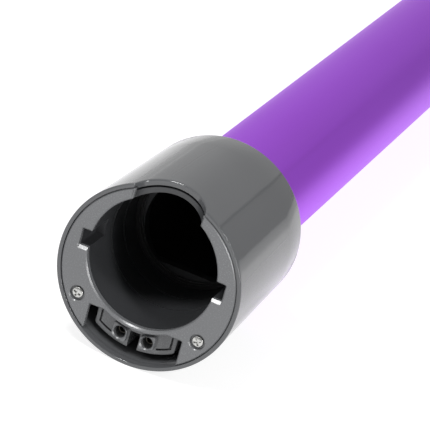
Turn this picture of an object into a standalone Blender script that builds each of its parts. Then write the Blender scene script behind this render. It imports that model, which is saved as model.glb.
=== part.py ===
"""Extension wand of a cordless stick vacuum: an anodised tube between a socket end and a plug end.

The wand lies along +Y. The socket end is at low Y and the plug end at high Y, +Z is the side with the
latch scallop and the release button, and the wand rests on the rims of its two collars at Z = 0.
"""

import math

import bmesh
import bpy
from mathutils import Matrix, Vector

MM = 0.001
GAP = 0.3 * MM  # clearance between neighbouring pieces
SIDES = 64  # facets round a large turned piece

# Overall
WAND_LENGTH = 730 * MM
NECK_LENGTH = 34 * MM
FACE_Y = -WAND_LENGTH / 2  # face of the socket end
SHOULDER_Y = WAND_LENGTH / 2 - NECK_LENGTH  # shoulder of the plug end
TIP_Y = WAND_LENGTH / 2

# Axes: the collars' centre line, the tube a little above it, and the bore and neck above that
COLLAR_Z = 26 * MM
TUBE_Z = COLLAR_Z + 1.1 * MM
BORE_Z = COLLAR_Z + 4.0 * MM

# Tube and wiring
TUBE_R = 17.5 * MM
TUBE_WALL = 1.2 * MM
TUBE_INNER_R = TUBE_R - TUBE_WALL
WIRE_R = 0.8 * MM
WIRE_X = 1.9 * MM
WIRE_Z = TUBE_Z - 13.3 * MM
DUCT_WIDTH = 9.2 * MM
DUCT_HEIGHT = 3.8 * MM
DUCT_WALL = 0.7 * MM
DUCT_ENTRY = 18 * MM

# Collars
COLLAR_R = 26 * MM
COLLAR_BACK_R = 24.9 * MM
RIM_WALL = 1.15 * MM
PLATE_THICKNESS = 1.8 * MM
COLLAR_INNER_R = 24.2 * MM
COLLAR_TAPER = 0.35 * MM
BACK_WALL = 2.5 * MM
SOCKET_COLLAR_LENGTH = 54 * MM
PLUG_COLLAR_LENGTH = 66 * MM
SCALLOP_HALF_WIDTH = 10.4 * MM
SCALLOP_RADIUS_Y = 8.3 * MM
SCALLOP_CENTRE_Y = -1.5 * MM

# Bore, key slots, screws and window of the face plates
BORE_R = 18.35 * MM
BORE_DEPTH = 36 * MM
SLEEVE_R = 19.6 * MM
KEY_SLOT_X = 20.9 * MM
KEY_SLOT_HEIGHT = 4.95 * MM
KEY_SLOT_DEPTH = 12 * MM
PLATE_GAP_HALF = 9.8 * MM
SCREW_X = 17.7 * MM
SCREW_Z = COLLAR_Z - 11.7 * MM
SCREW_HEAD_R = 1.6 * MM
SCREW_HEAD_HEIGHT = 0.75 * MM
SCREW_RECESS = 0.9 * MM
SCREW_SHANK_R = 0.9 * MM
SCREW_LENGTH = 9 * MM
BOSS_R = 2.6 * MM
BOSS_LENGTH = 12 * MM
WINDOW_HALF = 13.7 * MM
WINDOW_TOP = COLLAR_Z - 13.3 * MM

# Contacts
CARRIER_FACE = 3.3 * MM
CARRIER_BACK = 14 * MM
CARRIER_HALF = 11.8 * MM
CARRIER_R = 22.4 * MM
SOCKET_FACE = 1.75 * MM
SOCKET_SIDE = 4.3 * MM
SOCKET_TILT = math.radians(12)
CONTACT_X = 4.05 * MM
CONTACT_Z = COLLAR_Z - 18.45 * MM
CONTACT_HOLE_R = 1.7 * MM
TERMINAL_R = 1.4 * MM
TERMINAL_BORE_R = 1.05 * MM
PIN_R = 0.95 * MM
PIN_REACH = 7.5 * MM
HOOD_REACH = 8 * MM
HOOD_WALL = 1.2 * MM

# Tube cups and locking rings
CUP_R = TUBE_R + 2.0 * MM
CUP_LENGTH = 12 * MM
FLOOR = 3 * MM
THROAT_R = 15.4 * MM
THROAT_Z = COLLAR_Z + 1.9 * MM
THROAT_SILL_Z = COLLAR_Z - 10.1 * MM
RING_WALL = 1.8 * MM
RING_WIDTH = 5 * MM
PIP_R = 1.5 * MM
WIRE_SLOT_HALF = 5.4 * MM

# Neck, catch and button
NECK_R = BORE_R - 0.35 * MM
NECK_INNER_R = 16.2 * MM
KEY_LENGTH = 11 * MM
CHANNEL_HALF = 5.6 * MM
CHANNEL_WALL = 1.2 * MM
CHANNEL_FLOOR_Z = COLLAR_Z + 14.6 * MM
LEVER_HALF = 5.0 * MM
LEVER_Z = COLLAR_Z + 17.8 * MM
LEVER_THICKNESS = 2.6 * MM
PIVOT_Y = SHOULDER_Y - 46 * MM
PIVOT_Z = LEVER_Z + LEVER_THICKNESS / 2
PIVOT_PIN_R = 1.0 * MM
PIVOT_BOSS_R = 2.5 * MM
HOOK_Y = SHOULDER_Y + 9 * MM
HOOK_LENGTH = 6 * MM
HOOK_TOP_Z = COLLAR_Z + 23.7 * MM
BUTTON_Y = SHOULDER_Y - 14 * MM
BUTTON_HALF_X = 6 * MM
BUTTON_HALF_Y = 9.5 * MM
BUTTON_PROUD = 0.6 * MM
BUTTON_FLAT_Z = COLLAR_Z + 19.3 * MM
BUTTON_UNDERSIDE_Z = COLLAR_Z + 21.4 * MM
BUTTON_FLANGE_TOP_Z = COLLAR_Z + 22.5 * MM
RIB_Y = PIVOT_Y + 36 * MM  # the button's rib presses the lever this far from the pivot
RIB_HALF_X = 3 * MM
RIB_HALF_Y = 1.2 * MM
SPRING_Y = BUTTON_Y
SPRING_R = 3.0 * MM
SPRING_WIRE_R = 0.3 * MM
SPRING_TURNS = 3
SPRING_POCKET = 1.4 * MM  # depth of the pocket in the lever's underside


def clear_scene():
    for obj in list(bpy.data.objects):
        bpy.data.objects.remove(obj, do_unlink=True)


def new_collection(name):
    collection = bpy.data.collections.new(name)
    bpy.context.scene.collection.children.link(collection)
    return collection


def material(name, colour, roughness, metallic=0.0):
    """A Principled material; colour is a linear RGB triple."""
    made = bpy.data.materials.new(name)
    made.use_nodes = True
    shader = made.node_tree.nodes["Principled BSDF"]
    shader.inputs["Base Color"].default_value = (*colour, 1.0)
    shader.inputs["Roughness"].default_value = roughness
    shader.inputs["Metallic"].default_value = metallic
    return made


def add_object(name, mesh, collection, finish=None):
    obj = bpy.data.objects.new(name, mesh)
    collection.objects.link(obj)
    if finish:
        mesh.materials.append(finish)
    return obj


def part(name, mesh, finish):
    return add_object(name, mesh, PARTS, finish)


def cutter(name, mesh):
    obj = add_object(name, mesh, CUTTERS)
    obj.hide_render = True
    obj.display_type = "WIRE"
    return obj


def boolean(obj, other, operation="DIFFERENCE"):
    modifier = obj.modifiers.new(operation.lower(), "BOOLEAN")
    modifier.operation = operation
    modifier.object = other
    return modifier


def cut(obj, *meshes):
    for mesh in meshes:
        boolean(obj, cutter(obj.name + "_cut", mesh))


def join(obj, *meshes):
    for mesh in meshes:
        boolean(obj, cutter(obj.name + "_joined", mesh), "UNION")


def smooth(obj, angle=35):
    obj.data.shade_smooth()
    obj.data.set_sharp_from_angle(angle=math.radians(angle))


def mesh_from(build):
    """A new mesh from a function that fills a bmesh."""
    shape = bmesh.new()
    build(shape)
    mesh = bpy.data.meshes.new("shape")
    shape.to_mesh(mesh)
    shape.free()
    return mesh


def box_mesh(low, high):
    size = Vector(high) - Vector(low)
    centre = (Vector(high) + Vector(low)) / 2
    place = Matrix.Translation(centre) @ Matrix.Diagonal((*size, 1.0))
    return mesh_from(lambda shape: bmesh.ops.create_cube(shape, size=1.0, matrix=place))


def cylinder_mesh(start, end, radius, sides=SIDES, end_radius=None):
    """A cylinder or cone from the point start to the point end."""
    start, end = Vector(start), Vector(end)
    turn = (end - start).to_track_quat("Z", "Y").to_matrix().to_4x4()
    place = Matrix.Translation((start + end) / 2) @ turn
    second = radius if end_radius is None else end_radius
    return mesh_from(
        lambda shape: bmesh.ops.create_cone(
            shape, cap_ends=True, segments=sides, radius1=radius, radius2=second,
            depth=(end - start).length, matrix=place,
        )
    )


def along(y0, y1, z, radius, x=0.0, sides=SIDES, end_radius=None):
    """A cylinder along Y between two stations."""
    return cylinder_mesh((x, y0, z), (x, y1, z), radius, sides, end_radius)


def extruded(points, travel):
    """A solid made by moving a flat outline of points along the vector travel."""

    def build(shape):
        face = shape.faces.new([shape.verts.new(point) for point in points])
        grown = bmesh.ops.extrude_face_region(shape, geom=[face])
        moved = [item for item in grown["geom"] if isinstance(item, bmesh.types.BMVert)]
        bmesh.ops.translate(shape, verts=moved, vec=travel)
        bmesh.ops.recalc_face_normals(shape, faces=shape.faces)

    return mesh_from(build)


def prism_mesh(outline, y0, y1):
    """A solid with an X-Z outline between two stations along Y."""
    return extruded([(x, y0, z) for x, z in outline], (0, y1 - y0, 0))


def plan_mesh(outline, z0, z1):
    """A solid with an X-Y outline between two heights."""
    return extruded([(x, y, z0) for x, y in outline], (0, 0, z1 - z0))


def side_mesh(outline, half_width):
    """A solid with a Y-Z outline, from -half_width to half_width along X."""
    return extruded([(-half_width, y, z) for y, z in outline], (2 * half_width, 0, 0))


def arc(radius, centre_z, x0, x1, steps):
    """Points of a circle's lower side in the X-Z plane, from x0 to x1."""
    points = []
    for step in range(steps + 1):
        x = x0 + (x1 - x0) * step / steps
        points.append((x, centre_z - math.sqrt(radius * radius - x * x)))
    return points


def turned(name, profile, centre_z, finish, sides=SIDES):
    """A ring turned about an axis along Y; the profile is a closed loop of (radius, y)."""
    mesh = bpy.data.meshes.new(name)
    count = len(profile)
    edges = [(index, (index + 1) % count) for index in range(count)]
    mesh.from_pydata([(radius, y, 0.0) for radius, y in profile], edges, [])
    obj = part(name, mesh, finish)
    obj.location.z = centre_z
    screw = obj.modifiers.new("turn", "SCREW")
    screw.axis = "Y"
    screw.steps = sides
    screw.render_steps = sides
    screw.use_merge_vertices = True
    screw.merge_threshold = 0.01 * MM
    return obj


def tube_solid(name, y0, y1, outer, inner, centre_z, finish, sides=SIDES):
    obj = part(name, along(y0, y1, centre_z, outer, sides=sides), finish)
    cut(obj, along(y0 - MM, y1 + MM, centre_z, inner, sides=sides))
    return obj


def ellipse_plan(end_y, direction, spare=0.0, steps=32):
    """Outline of the latch scallop: an ellipse whose centre lies just outside the end face."""
    centre = end_y + direction * SCALLOP_CENTRE_Y
    points = []
    for step in range(steps):
        angle = 2 * math.pi * step / steps
        x = (SCALLOP_HALF_WIDTH - spare) * math.cos(angle)
        points.append((x, centre + (SCALLOP_RADIUS_Y - spare) * math.sin(angle)))
    return points


def key_boxes(x0, x1, y0, y1, spare=0.0):
    """The left and right key slots, or the keys that enter them, at the bore's centre height."""
    half = KEY_SLOT_HEIGHT / 2 + spare
    return [
        box_mesh((-x1, y0, BORE_Z - half), (-x0, y1, BORE_Z + half)),
        box_mesh((x0, y0, BORE_Z - half), (x1, y1, BORE_Z + half)),
    ]


def collar(name, face_y, length, direction, finish):
    """A gloss shell: rim, plate seat, tapered wall and back wall round the tube."""
    back_y = face_y + direction * length
    obj = part(name, along(face_y, back_y, COLLAR_Z, COLLAR_R, end_radius=COLLAR_BACK_R), finish)
    seat = face_y + direction * (PLATE_THICKNESS + GAP)
    inner_end = back_y - direction * BACK_WALL
    before = face_y - direction * MM
    cut(
        obj,
        along(before, seat, COLLAR_Z, COLLAR_R - RIM_WALL),
        along(before, inner_end, COLLAR_Z, COLLAR_INNER_R, end_radius=COLLAR_INNER_R - COLLAR_TAPER),
        along(face_y, back_y + direction * MM, TUBE_Z, TUBE_R + GAP),
    )
    return obj


def face_plate(name, face_y, direction, bore_r, gap_half, finish):
    """The flat plate inside a rim: open at the top, with the bore, key notches, recesses and window."""
    back = face_y + direction * PLATE_THICKNESS
    front = face_y - direction * MM
    past = back + direction * MM
    obj = part(name, along(face_y, back, COLLAR_Z, COLLAR_R - RIM_WALL - 0.35 * MM), finish)
    cut(obj, along(front, past, BORE_Z, bore_r))
    cut(obj, *key_boxes(bore_r - 2 * MM, KEY_SLOT_X, min(front, past), max(front, past)))
    low, high = min(front, past), max(front, past)
    top = COLLAR_Z + COLLAR_R + MM
    cut(obj, box_mesh((-gap_half, low, BORE_Z), (gap_half, high, top)))
    lip_half = math.sqrt(SLEEVE_R**2 - (BORE_Z - WINDOW_TOP) ** 2)
    lip = arc(SLEEVE_R, BORE_Z, -lip_half, lip_half, 16)
    window = [(-WINDOW_HALF, COLLAR_Z - COLLAR_R - MM), (-WINDOW_HALF, WINDOW_TOP), *lip]
    window += [(WINDOW_HALF, WINDOW_TOP), (WINDOW_HALF, COLLAR_Z - COLLAR_R - MM)]
    cut(obj, prism_mesh(window, low, high))
    floor = face_y + direction * SCREW_RECESS
    for side in (-1, 1):
        x = side * SCREW_X
        cut(obj, along(front, floor, SCREW_Z, SCREW_HEAD_R + 0.4 * MM, x=x, sides=24))
        cut(obj, along(front, past, SCREW_Z, SCREW_SHANK_R + GAP, x=x, sides=16))
    return obj


def screw(name, face_y, direction, x, finish):
    """A pan-head screw with a cross recess, its head just below the plate's face."""
    seat = face_y + direction * (SCREW_RECESS - 0.02 * MM)
    top = seat - direction * SCREW_HEAD_HEIGHT
    end = seat + direction * SCREW_LENGTH
    obj = part(name, along(top, seat, SCREW_Z, 0.82 * SCREW_HEAD_R, x, 24, SCREW_HEAD_R), finish)
    start = seat - direction * 0.2 * MM
    join(obj, along(start, end, SCREW_Z, SCREW_SHANK_R - 0.1 * MM, x=x, sides=16))
    floor = top + direction * 0.5 * MM
    outside = top - direction * MM
    low, high = min(floor, outside), max(floor, outside)
    wide, narrow = 0.95 * MM, 0.22 * MM
    cut(obj, box_mesh((x - wide, low, SCREW_Z - narrow), (x + wide, high, SCREW_Z + narrow)))
    cut(obj, box_mesh((x - narrow, low, SCREW_Z - wide), (x + narrow, high, SCREW_Z + wide)))
    smooth(obj)
    return obj


def bosses(face_y, direction):
    """The two screw bosses behind a plate, each with a web back to the sleeve."""
    start = face_y + direction * (PLATE_THICKNESS + GAP)
    end = start + direction * BOSS_LENGTH
    low, high = min(start, end), max(start, end)
    made = []
    for side in (-1, 1):
        made.append(along(start, end, SCREW_Z, BOSS_R, x=side * SCREW_X, sides=24))
        web_x = sorted((side * (SCREW_X - 2.8 * MM), side * (SCREW_X + 0.3 * MM)))
        made.append(box_mesh((web_x[0], low, SCREW_Z), (web_x[1], high, SCREW_Z + 8.5 * MM)))
    return made


def pilot_holes(face_y, direction):
    start = face_y + direction * PLATE_THICKNESS
    end = face_y + direction * (SCREW_RECESS + SCREW_LENGTH + MM)
    hole_r = SCREW_SHANK_R + 0.2 * MM
    return [along(start, end, SCREW_Z, hole_r, x=side * SCREW_X, sides=16) for side in (-1, 1)]


def cup_parts(mouth_y, direction):
    """The cup round a tube's end: outer body, tube seat, throat, wire slot and pip holes.

    The throat's lower edge is a flat sill that hides the open end of the wire duct behind it.
    """
    bottom = mouth_y - direction * CUP_LENGTH
    body = along(bottom - direction * FLOOR, mouth_y, TUBE_Z, CUP_R)
    seat = along(bottom, mouth_y + direction * MM, TUBE_Z, TUBE_R + GAP)
    throat_start = bottom - direction * (FLOOR + MM)
    throat = throat_mesh(*sorted((throat_start, bottom + direction * MM)))
    low, high = sorted((bottom - direction * (FLOOR + MM), mouth_y + direction * MM))
    slot = box_mesh(
        (-WIRE_SLOT_HALF, low, COLLAR_Z - COLLAR_R),
        (WIRE_SLOT_HALF, high, COLLAR_Z - 15.9 * MM),
    )
    return body, [seat, throat, slot, pip_hole(mouth_y, direction, GAP)]


def throat_mesh(y0, y1):
    """A round hole with a flat sill at the bottom."""
    drop = THROAT_Z - THROAT_SILL_Z
    half_angle = math.acos(drop / THROAT_R)
    steps = 48
    outline = []
    for step in range(steps + 1):
        angle = half_angle + (2 * math.pi - 2 * half_angle) * step / steps
        outline.append((-THROAT_R * math.sin(angle), THROAT_Z - THROAT_R * math.cos(angle)))
    return prism_mesh(outline, y0, y1)


def pip_hole(mouth_y, direction, spare):
    y = mouth_y - direction * CUP_LENGTH / 2
    reach = CUP_R + 3 * MM
    return cylinder_mesh((-reach, y, TUBE_Z), (reach, y, TUBE_Z), PIP_R + spare, sides=20)


def tube_ring(name, mouth_y, direction, finish):
    """A split ring round the cup; its two pips reach through the cup into the tube wall."""
    y = mouth_y - direction * CUP_LENGTH / 2
    inner = CUP_R + GAP
    obj = part(name, along(y - RING_WIDTH / 2, y + RING_WIDTH / 2, TUBE_Z, inner + RING_WALL), finish)
    cut(obj, along(y - RING_WIDTH, y + RING_WIDTH, TUBE_Z, inner))
    gap_low = (-7 * MM, y - RING_WIDTH, TUBE_Z - CUP_R - 4 * MM)
    cut(obj, box_mesh(gap_low, (7 * MM, y + RING_WIDTH, TUBE_Z - 10 * MM)))
    for side in (-1, 1):
        outer_end = (side * (inner + RING_WALL / 2), y, TUBE_Z)
        inner_end = (side * (TUBE_INNER_R + 0.2 * MM), y, TUBE_Z)
        join(obj, cylinder_mesh(inner_end, outer_end, PIP_R, sides=20))
    smooth(obj)
    return obj


def wand_tube(finish):
    start = SOCKET_CUP_MOUTH - CUP_LENGTH + 0.4 * MM
    end = PLUG_CUP_MOUTH + CUP_LENGTH - 0.4 * MM
    obj = tube_solid("wand_tube", start, end, TUBE_R, TUBE_INNER_R, TUBE_Z, finish)
    cut(obj, pip_hole(SOCKET_CUP_MOUTH, 1, GAP), pip_hole(PLUG_CUP_MOUTH, -1, GAP))
    for tube_end, mouth, direction in ((start, SOCKET_CUP_MOUTH, 1), (end, PLUG_CUP_MOUTH, -1)):
        low, high = sorted((tube_end - direction * MM, mouth - direction * 0.5 * MM))
        cut(
            obj,
            box_mesh(
                (-WIRE_SLOT_HALF, low, TUBE_Z - TUBE_R - MM), (WIRE_SLOT_HALF, high, TUBE_Z - 10 * MM)
            ),
        )
    smooth(obj)
    return obj


def wire_duct(finish):
    """A channel on the tube's floor, open below at both ends where the conductors come up into it."""
    y0 = SOCKET_CUP_MOUTH - CUP_LENGTH + 0.4 * MM
    y1 = PLUG_CUP_MOUTH + CUP_LENGTH - 0.4 * MM
    bottom = WIRE_Z - 1.9 * MM
    low = (-DUCT_WIDTH / 2, y0, bottom)
    high = (DUCT_WIDTH / 2, y1, bottom + DUCT_HEIGHT)
    obj = part("wire_duct", box_mesh(low, high), finish)
    wall = Vector((DUCT_WALL, -MM, DUCT_WALL))
    inside = (Vector(low) + wall, Vector(high) - wall)
    cut(obj, box_mesh(*inside))
    entry = DUCT_ENTRY
    for near, far in ((y0 - MM, y0 + entry), (y1 - entry, y1 + MM)):
        cut(obj, box_mesh((inside[0].x, near, bottom - MM), (inside[1].x, far, bottom + DUCT_HEIGHT / 2)))
    return obj


def smooth_step(t):
    return t * t * (3 - 2 * t)


def wire(name, side, finish):
    """A conductor from a socket terminal, down the duct, to a contact pin."""
    socket_start = FACE_Y + 19 * MM
    socket_turn = FACE_Y + 33 * MM
    plug_turn = SHOULDER_Y - 45 * MM
    plug_end = SHOULDER_Y - 15 * MM
    bend = 19 * MM
    points = [(side * CONTACT_X, socket_start, CONTACT_Z)]
    steps = 8
    for step in range(steps + 1):
        t = smooth_step(step / steps)
        x = side * (CONTACT_X + (WIRE_X - CONTACT_X) * t)
        points.append((x, socket_turn + bend * step / steps, CONTACT_Z + (WIRE_Z - CONTACT_Z) * t))
    for step in range(steps + 1):
        t = smooth_step(1 - step / steps)
        x = side * (CONTACT_X + (WIRE_X - CONTACT_X) * t)
        points.append((x, plug_turn - bend * (1 - step / steps), CONTACT_Z + (WIRE_Z - CONTACT_Z) * t))
    points.append((side * CONTACT_X, plug_end, CONTACT_Z))
    curve = bpy.data.curves.new(name, "CURVE")
    curve.dimensions = "3D"
    curve.bevel_depth = WIRE_R
    curve.bevel_resolution = 2
    curve.use_fill_caps = True
    spline = curve.splines.new("POLY")
    spline.points.add(len(points) - 1)
    for point, place in zip(spline.points, points):
        point.co = (*place, 1.0)
    obj = bpy.data.objects.new(name, curve)
    curve.materials.append(finish)
    PARTS.objects.link(obj)
    return obj


def socket_collar(finish):
    obj = collar("socket_collar", FACE_Y, SOCKET_COLLAR_LENGTH, 1, finish)
    top = COLLAR_Z + COLLAR_R + MM
    cut(obj, plan_mesh(ellipse_plan(FACE_Y, 1), COLLAR_Z + 17 * MM, top))
    smooth(obj)
    return obj


def socket_sleeve(finish):
    """Bore, key slots, screw bosses and the cup that takes the tube."""
    start = FACE_Y + PLATE_THICKNESS + GAP
    floor = FACE_Y + BORE_DEPTH
    obj = part("socket_sleeve", along(start, floor + FLOOR, BORE_Z, SLEEVE_R), finish)
    shells = key_boxes(17 * MM, KEY_SLOT_X + 1.2 * MM, start, FACE_Y + KEY_SLOT_DEPTH + 1.2 * MM, 1.2 * MM)
    cup, cup_cuts = cup_parts(SOCKET_CUP_MOUTH, 1)
    join(obj, *shells, *bosses(FACE_Y, 1), cup)
    cut(obj, along(start - MM, floor, BORE_Z, BORE_R))
    cut(obj, *key_boxes(15 * MM, KEY_SLOT_X, start - MM, FACE_Y + KEY_SLOT_DEPTH))
    cut(obj, *pilot_holes(FACE_Y, 1), *cup_cuts)
    cut(obj, plan_mesh(ellipse_plan(FACE_Y, 1), COLLAR_Z + 17 * MM, COLLAR_Z + COLLAR_R))
    slot_y = FACE_Y + HOOK_Y - SHOULDER_Y
    half = LEVER_HALF + 0.6 * MM
    slot_low = (-half, slot_y - 0.6 * MM, COLLAR_Z + 18 * MM)
    cut(obj, box_mesh(slot_low, (half, slot_y + HOOK_LENGTH + 0.6 * MM, COLLAR_Z + COLLAR_R)))
    smooth(obj)
    return obj


def carrier_outline():
    """Curved strip under the bore: an arc of the bore above, an arc of the collar below."""
    upper = arc(SLEEVE_R + GAP, BORE_Z, -CARRIER_HALF, CARRIER_HALF, 16)
    lower = arc(CARRIER_R, COLLAR_Z, -CARRIER_HALF, CARRIER_HALF, 16)
    return upper + lower[::-1]


def tilted_box(x, half, y0, y1, tilt):
    """A square block along Y, turned about its own centre line."""
    place = Matrix.Translation((x, (y0 + y1) / 2, CONTACT_Z)) @ Matrix.Rotation(tilt, 4, "Y")
    place = place @ Matrix.Diagonal((2 * half, abs(y1 - y0), 2 * half, 1.0))
    return mesh_from(lambda shape: bmesh.ops.create_cube(shape, size=1.0, matrix=place))


def contact_carrier(finish):
    front = FACE_Y + CARRIER_FACE
    back = FACE_Y + CARRIER_BACK
    obj = part("contact_carrier", prism_mesh(carrier_outline(), front, back), finish)
    for side in (-1, 1):
        x = side * CONTACT_X
        join(obj, tilted_box(x, SOCKET_SIDE / 2, FACE_Y + SOCKET_FACE, front + 2 * MM, side * -SOCKET_TILT))
    slot_low = (-1.5 * MM, FACE_Y, COLLAR_Z - COLLAR_R)
    cut(obj, box_mesh(slot_low, (1.5 * MM, back - 2 * MM, COLLAR_Z - 17.5 * MM)))
    for side in (-1, 1):
        cut(obj, along(FACE_Y, back + MM, CONTACT_Z, CONTACT_HOLE_R, x=side * CONTACT_X, sides=24))
    smooth(obj)
    return obj


def socket_terminal(name, side, finish):
    """A turned contact: an open barrel in front and a crimp tail behind."""
    front = FACE_Y + 4.2 * MM
    back = FACE_Y + 15.5 * MM
    x = side * CONTACT_X
    obj = part(name, along(front, back, CONTACT_Z, TERMINAL_R, x=x, sides=20), finish)
    join(obj, along(back - MM, FACE_Y + 18.7 * MM, CONTACT_Z, WIRE_R, x=x, sides=16))
    cut(obj, along(front - MM, back - 2 * MM, CONTACT_Z, TERMINAL_BORE_R, x=x, sides=20))
    smooth(obj)
    return obj


def bore_seal(finish):
    """A lip seal on the bore's floor: a flat foot and a thin lip that leans forwards."""
    floor = FACE_Y + BORE_DEPTH - GAP
    outer = BORE_R - GAP
    lip = BORE_R - 2.3 * MM
    profile = [
        (outer, floor - 1.2 * MM),
        (lip + 0.8 * MM, floor - 1.2 * MM),
        (lip + 0.3 * MM, floor - 2.4 * MM),
        (lip, floor - 1.5 * MM),
        (lip + 0.3 * MM, floor),
        (outer, floor),
    ]
    return turned("bore_seal", profile, BORE_Z, finish)


def plug_collar(finish):
    """The plug end's shell, with the button opening and the tongue that enters a socket's scallop."""
    obj = collar("plug_collar", SHOULDER_Y, PLUG_COLLAR_LENGTH, -1, finish)
    top = COLLAR_Z + COLLAR_R + MM
    tongue = cutter("plug_tongue", along(SHOULDER_Y - 6 * MM, SHOULDER_Y + 6.6 * MM, COLLAR_Z, COLLAR_R))
    hollow = along(SHOULDER_Y - 8 * MM, SHOULDER_Y + 8 * MM, COLLAR_Z, COLLAR_INNER_R)
    boolean(tongue, cutter("plug_tongue_inside", hollow))
    plan = ellipse_plan(SHOULDER_Y, 1, 0.4 * MM)
    boolean(tongue, cutter("plug_tongue_plan", plan_mesh(plan, COLLAR_Z + 17 * MM, top)), "INTERSECT")
    boolean(obj, tongue, "UNION")
    spare = 0.35 * MM
    opening = rounded_plan(BUTTON_HALF_X + spare, BUTTON_HALF_Y + spare, BUTTON_Y, 3 * MM)
    cut(obj, plan_mesh(opening, COLLAR_Z + 17 * MM, top))
    smooth(obj)
    return obj


def rounded_plan(half_x, half_y, centre_y, radius, steps=5):
    """A rectangle in plan with rounded corners."""
    points = []
    for corner in range(4):
        sign_x = (1, -1, -1, 1)[corner]
        sign_y = (1, 1, -1, -1)[corner]
        for step in range(steps + 1):
            angle = math.pi / 2 * (corner + step / steps)
            x = sign_x * (half_x - radius) + radius * math.cos(angle)
            points.append((x, centre_y + sign_y * (half_y - radius) + radius * math.sin(angle)))
    return points


def plug_neck(finish):
    """Neck with side keys, catch channel, screw bosses and the cup that takes the tube."""
    cup, cup_cuts = cup_parts(PLUG_CUP_MOUTH, -1)
    body_start = PLUG_CUP_MOUTH + CUP_LENGTH + FLOOR / 2
    obj = part("plug_neck", along(body_start, TIP_Y, BORE_Z, NECK_R), finish)
    keys = key_boxes(16 * MM, KEY_SLOT_X - 0.4 * MM, SHOULDER_Y - 6 * MM, SHOULDER_Y + KEY_LENGTH, -0.35 * MM)
    join(obj, *keys, *bosses(SHOULDER_Y, -1), cup)
    cut(obj, along(PLUG_CUP_MOUTH + CUP_LENGTH + FLOOR, TIP_Y + MM, BORE_Z, NECK_INNER_R))
    outer = CHANNEL_HALF + CHANNEL_WALL
    channel_start = PIVOT_Y - 4.5 * MM
    channel_end = HOOK_Y + HOOK_LENGTH + 3 * MM
    trough = cutter(
        "channel_trough",
        box_mesh(
            (-outer, channel_start - CHANNEL_WALL, CHANNEL_FLOOR_Z - CHANNEL_WALL),
            (outer, channel_end + CHANNEL_WALL, BORE_Z + NECK_R),
        ),
    )
    limit = along(body_start - 2 * MM, TIP_Y, BORE_Z, NECK_R - 0.05 * MM)
    boolean(trough, cutter("channel_limit", limit), "INTERSECT")
    boolean(obj, trough, "UNION")
    above = COLLAR_Z + COLLAR_R
    cut(
        obj,
        box_mesh((-CHANNEL_HALF, channel_start, CHANNEL_FLOOR_Z), (CHANNEL_HALF, channel_end, above)),
        box_mesh(
            (-12 * MM, BUTTON_Y - BUTTON_HALF_Y - 3 * MM, BUTTON_FLAT_Z),
            (12 * MM, SHOULDER_Y - 0.1 * MM, above),
        ),
    )
    pin_reach = outer + 2 * MM
    left, right = (-pin_reach, PIVOT_Y, PIVOT_Z), (pin_reach, PIVOT_Y, PIVOT_Z)
    pin_hole = cylinder_mesh(left, right, PIVOT_PIN_R + 0.12 * MM, 24)
    cut(obj, *pilot_holes(SHOULDER_Y, -1), *cup_cuts, pin_hole)
    smooth(obj)
    return obj


def plug_contact_block(finish):
    """Pin holder under the neck, with a curved hood that shields the pins."""
    back = SHOULDER_Y - 14 * MM
    half = WINDOW_HALF - 0.6 * MM
    under_plate = arc(SLEEVE_R + GAP, BORE_Z, -half, half, 16)
    upper = [(x, min(z, WINDOW_TOP - GAP)) for x, z in under_plate]
    lower = arc(COLLAR_INNER_R - 0.35 * MM, COLLAR_Z, -half, half, 16)
    obj = part("plug_contact_block", prism_mesh(upper + lower[::-1], back, SHOULDER_Y - GAP), finish)
    hood_top = arc(COLLAR_INNER_R - 0.35 * MM - HOOD_WALL, COLLAR_Z, -half, half, 16)
    join(obj, prism_mesh(hood_top + lower[::-1], SHOULDER_Y - 2 * MM, SHOULDER_Y + HOOD_REACH))
    for side in (-1, 1):
        hole = along(back - MM, SHOULDER_Y + MM, CONTACT_Z, PIN_R + GAP, x=side * CONTACT_X, sides=20)
        cut(obj, hole)
    smooth(obj)
    return obj


def contact_pin(name, side, finish):
    """A round-nosed pin with a wider tail behind the block."""
    x = side * CONTACT_X
    start = SHOULDER_Y - 14.7 * MM
    nose = SHOULDER_Y + PIN_REACH
    obj = part(name, along(start, nose - 0.6 * MM, CONTACT_Z, PIN_R, x=x, sides=20), finish)
    join(obj, along(nose - 0.8 * MM, nose, CONTACT_Z, PIN_R - 0.02 * MM, x=x, sides=20, end_radius=0.5 * MM))
    smooth(obj)
    return obj


def catch_lever(finish):
    """Long lever: pivot boss at the back, spring pocket under the button, hook at the front."""
    top = LEVER_Z + LEVER_THICKNESS
    outline = [
        (PIVOT_Y, LEVER_Z),
        (HOOK_Y + HOOK_LENGTH, LEVER_Z),
        (HOOK_Y + HOOK_LENGTH, top - 0.8 * MM),
        (HOOK_Y + 2.2 * MM, HOOK_TOP_Z),
        (HOOK_Y, HOOK_TOP_Z),
        (HOOK_Y, top),
        (PIVOT_Y, top),
    ]
    obj = part("catch_lever", side_mesh([(y - PIVOT_Y, z - PIVOT_Z) for y, z in outline], LEVER_HALF), finish)
    obj.location = (0, PIVOT_Y, PIVOT_Z)
    boss_half = LEVER_HALF + 0.2 * MM
    boss = cylinder_mesh((-boss_half, 0, 0), (boss_half, 0, 0), PIVOT_BOSS_R, 24)
    hole = cylinder_mesh((-LEVER_HALF - MM, 0, 0), (LEVER_HALF + MM, 0, 0), PIVOT_PIN_R + 0.08 * MM, 24)
    spring_y = SPRING_Y - PIVOT_Y
    underside = LEVER_Z - PIVOT_Z
    pocket_top = (0, spring_y, underside + SPRING_POCKET)
    pocket = cylinder_mesh((0, spring_y, underside - MM), pocket_top, SPRING_R + 0.7 * MM, 24)
    for mesh, operation in ((boss, "UNION"), (hole, "DIFFERENCE"), (pocket, "DIFFERENCE")):
        tool = cutter("catch_lever_tool", mesh)
        tool.location = obj.location
        boolean(obj, tool, operation)
    smooth(obj)
    return obj


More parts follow.
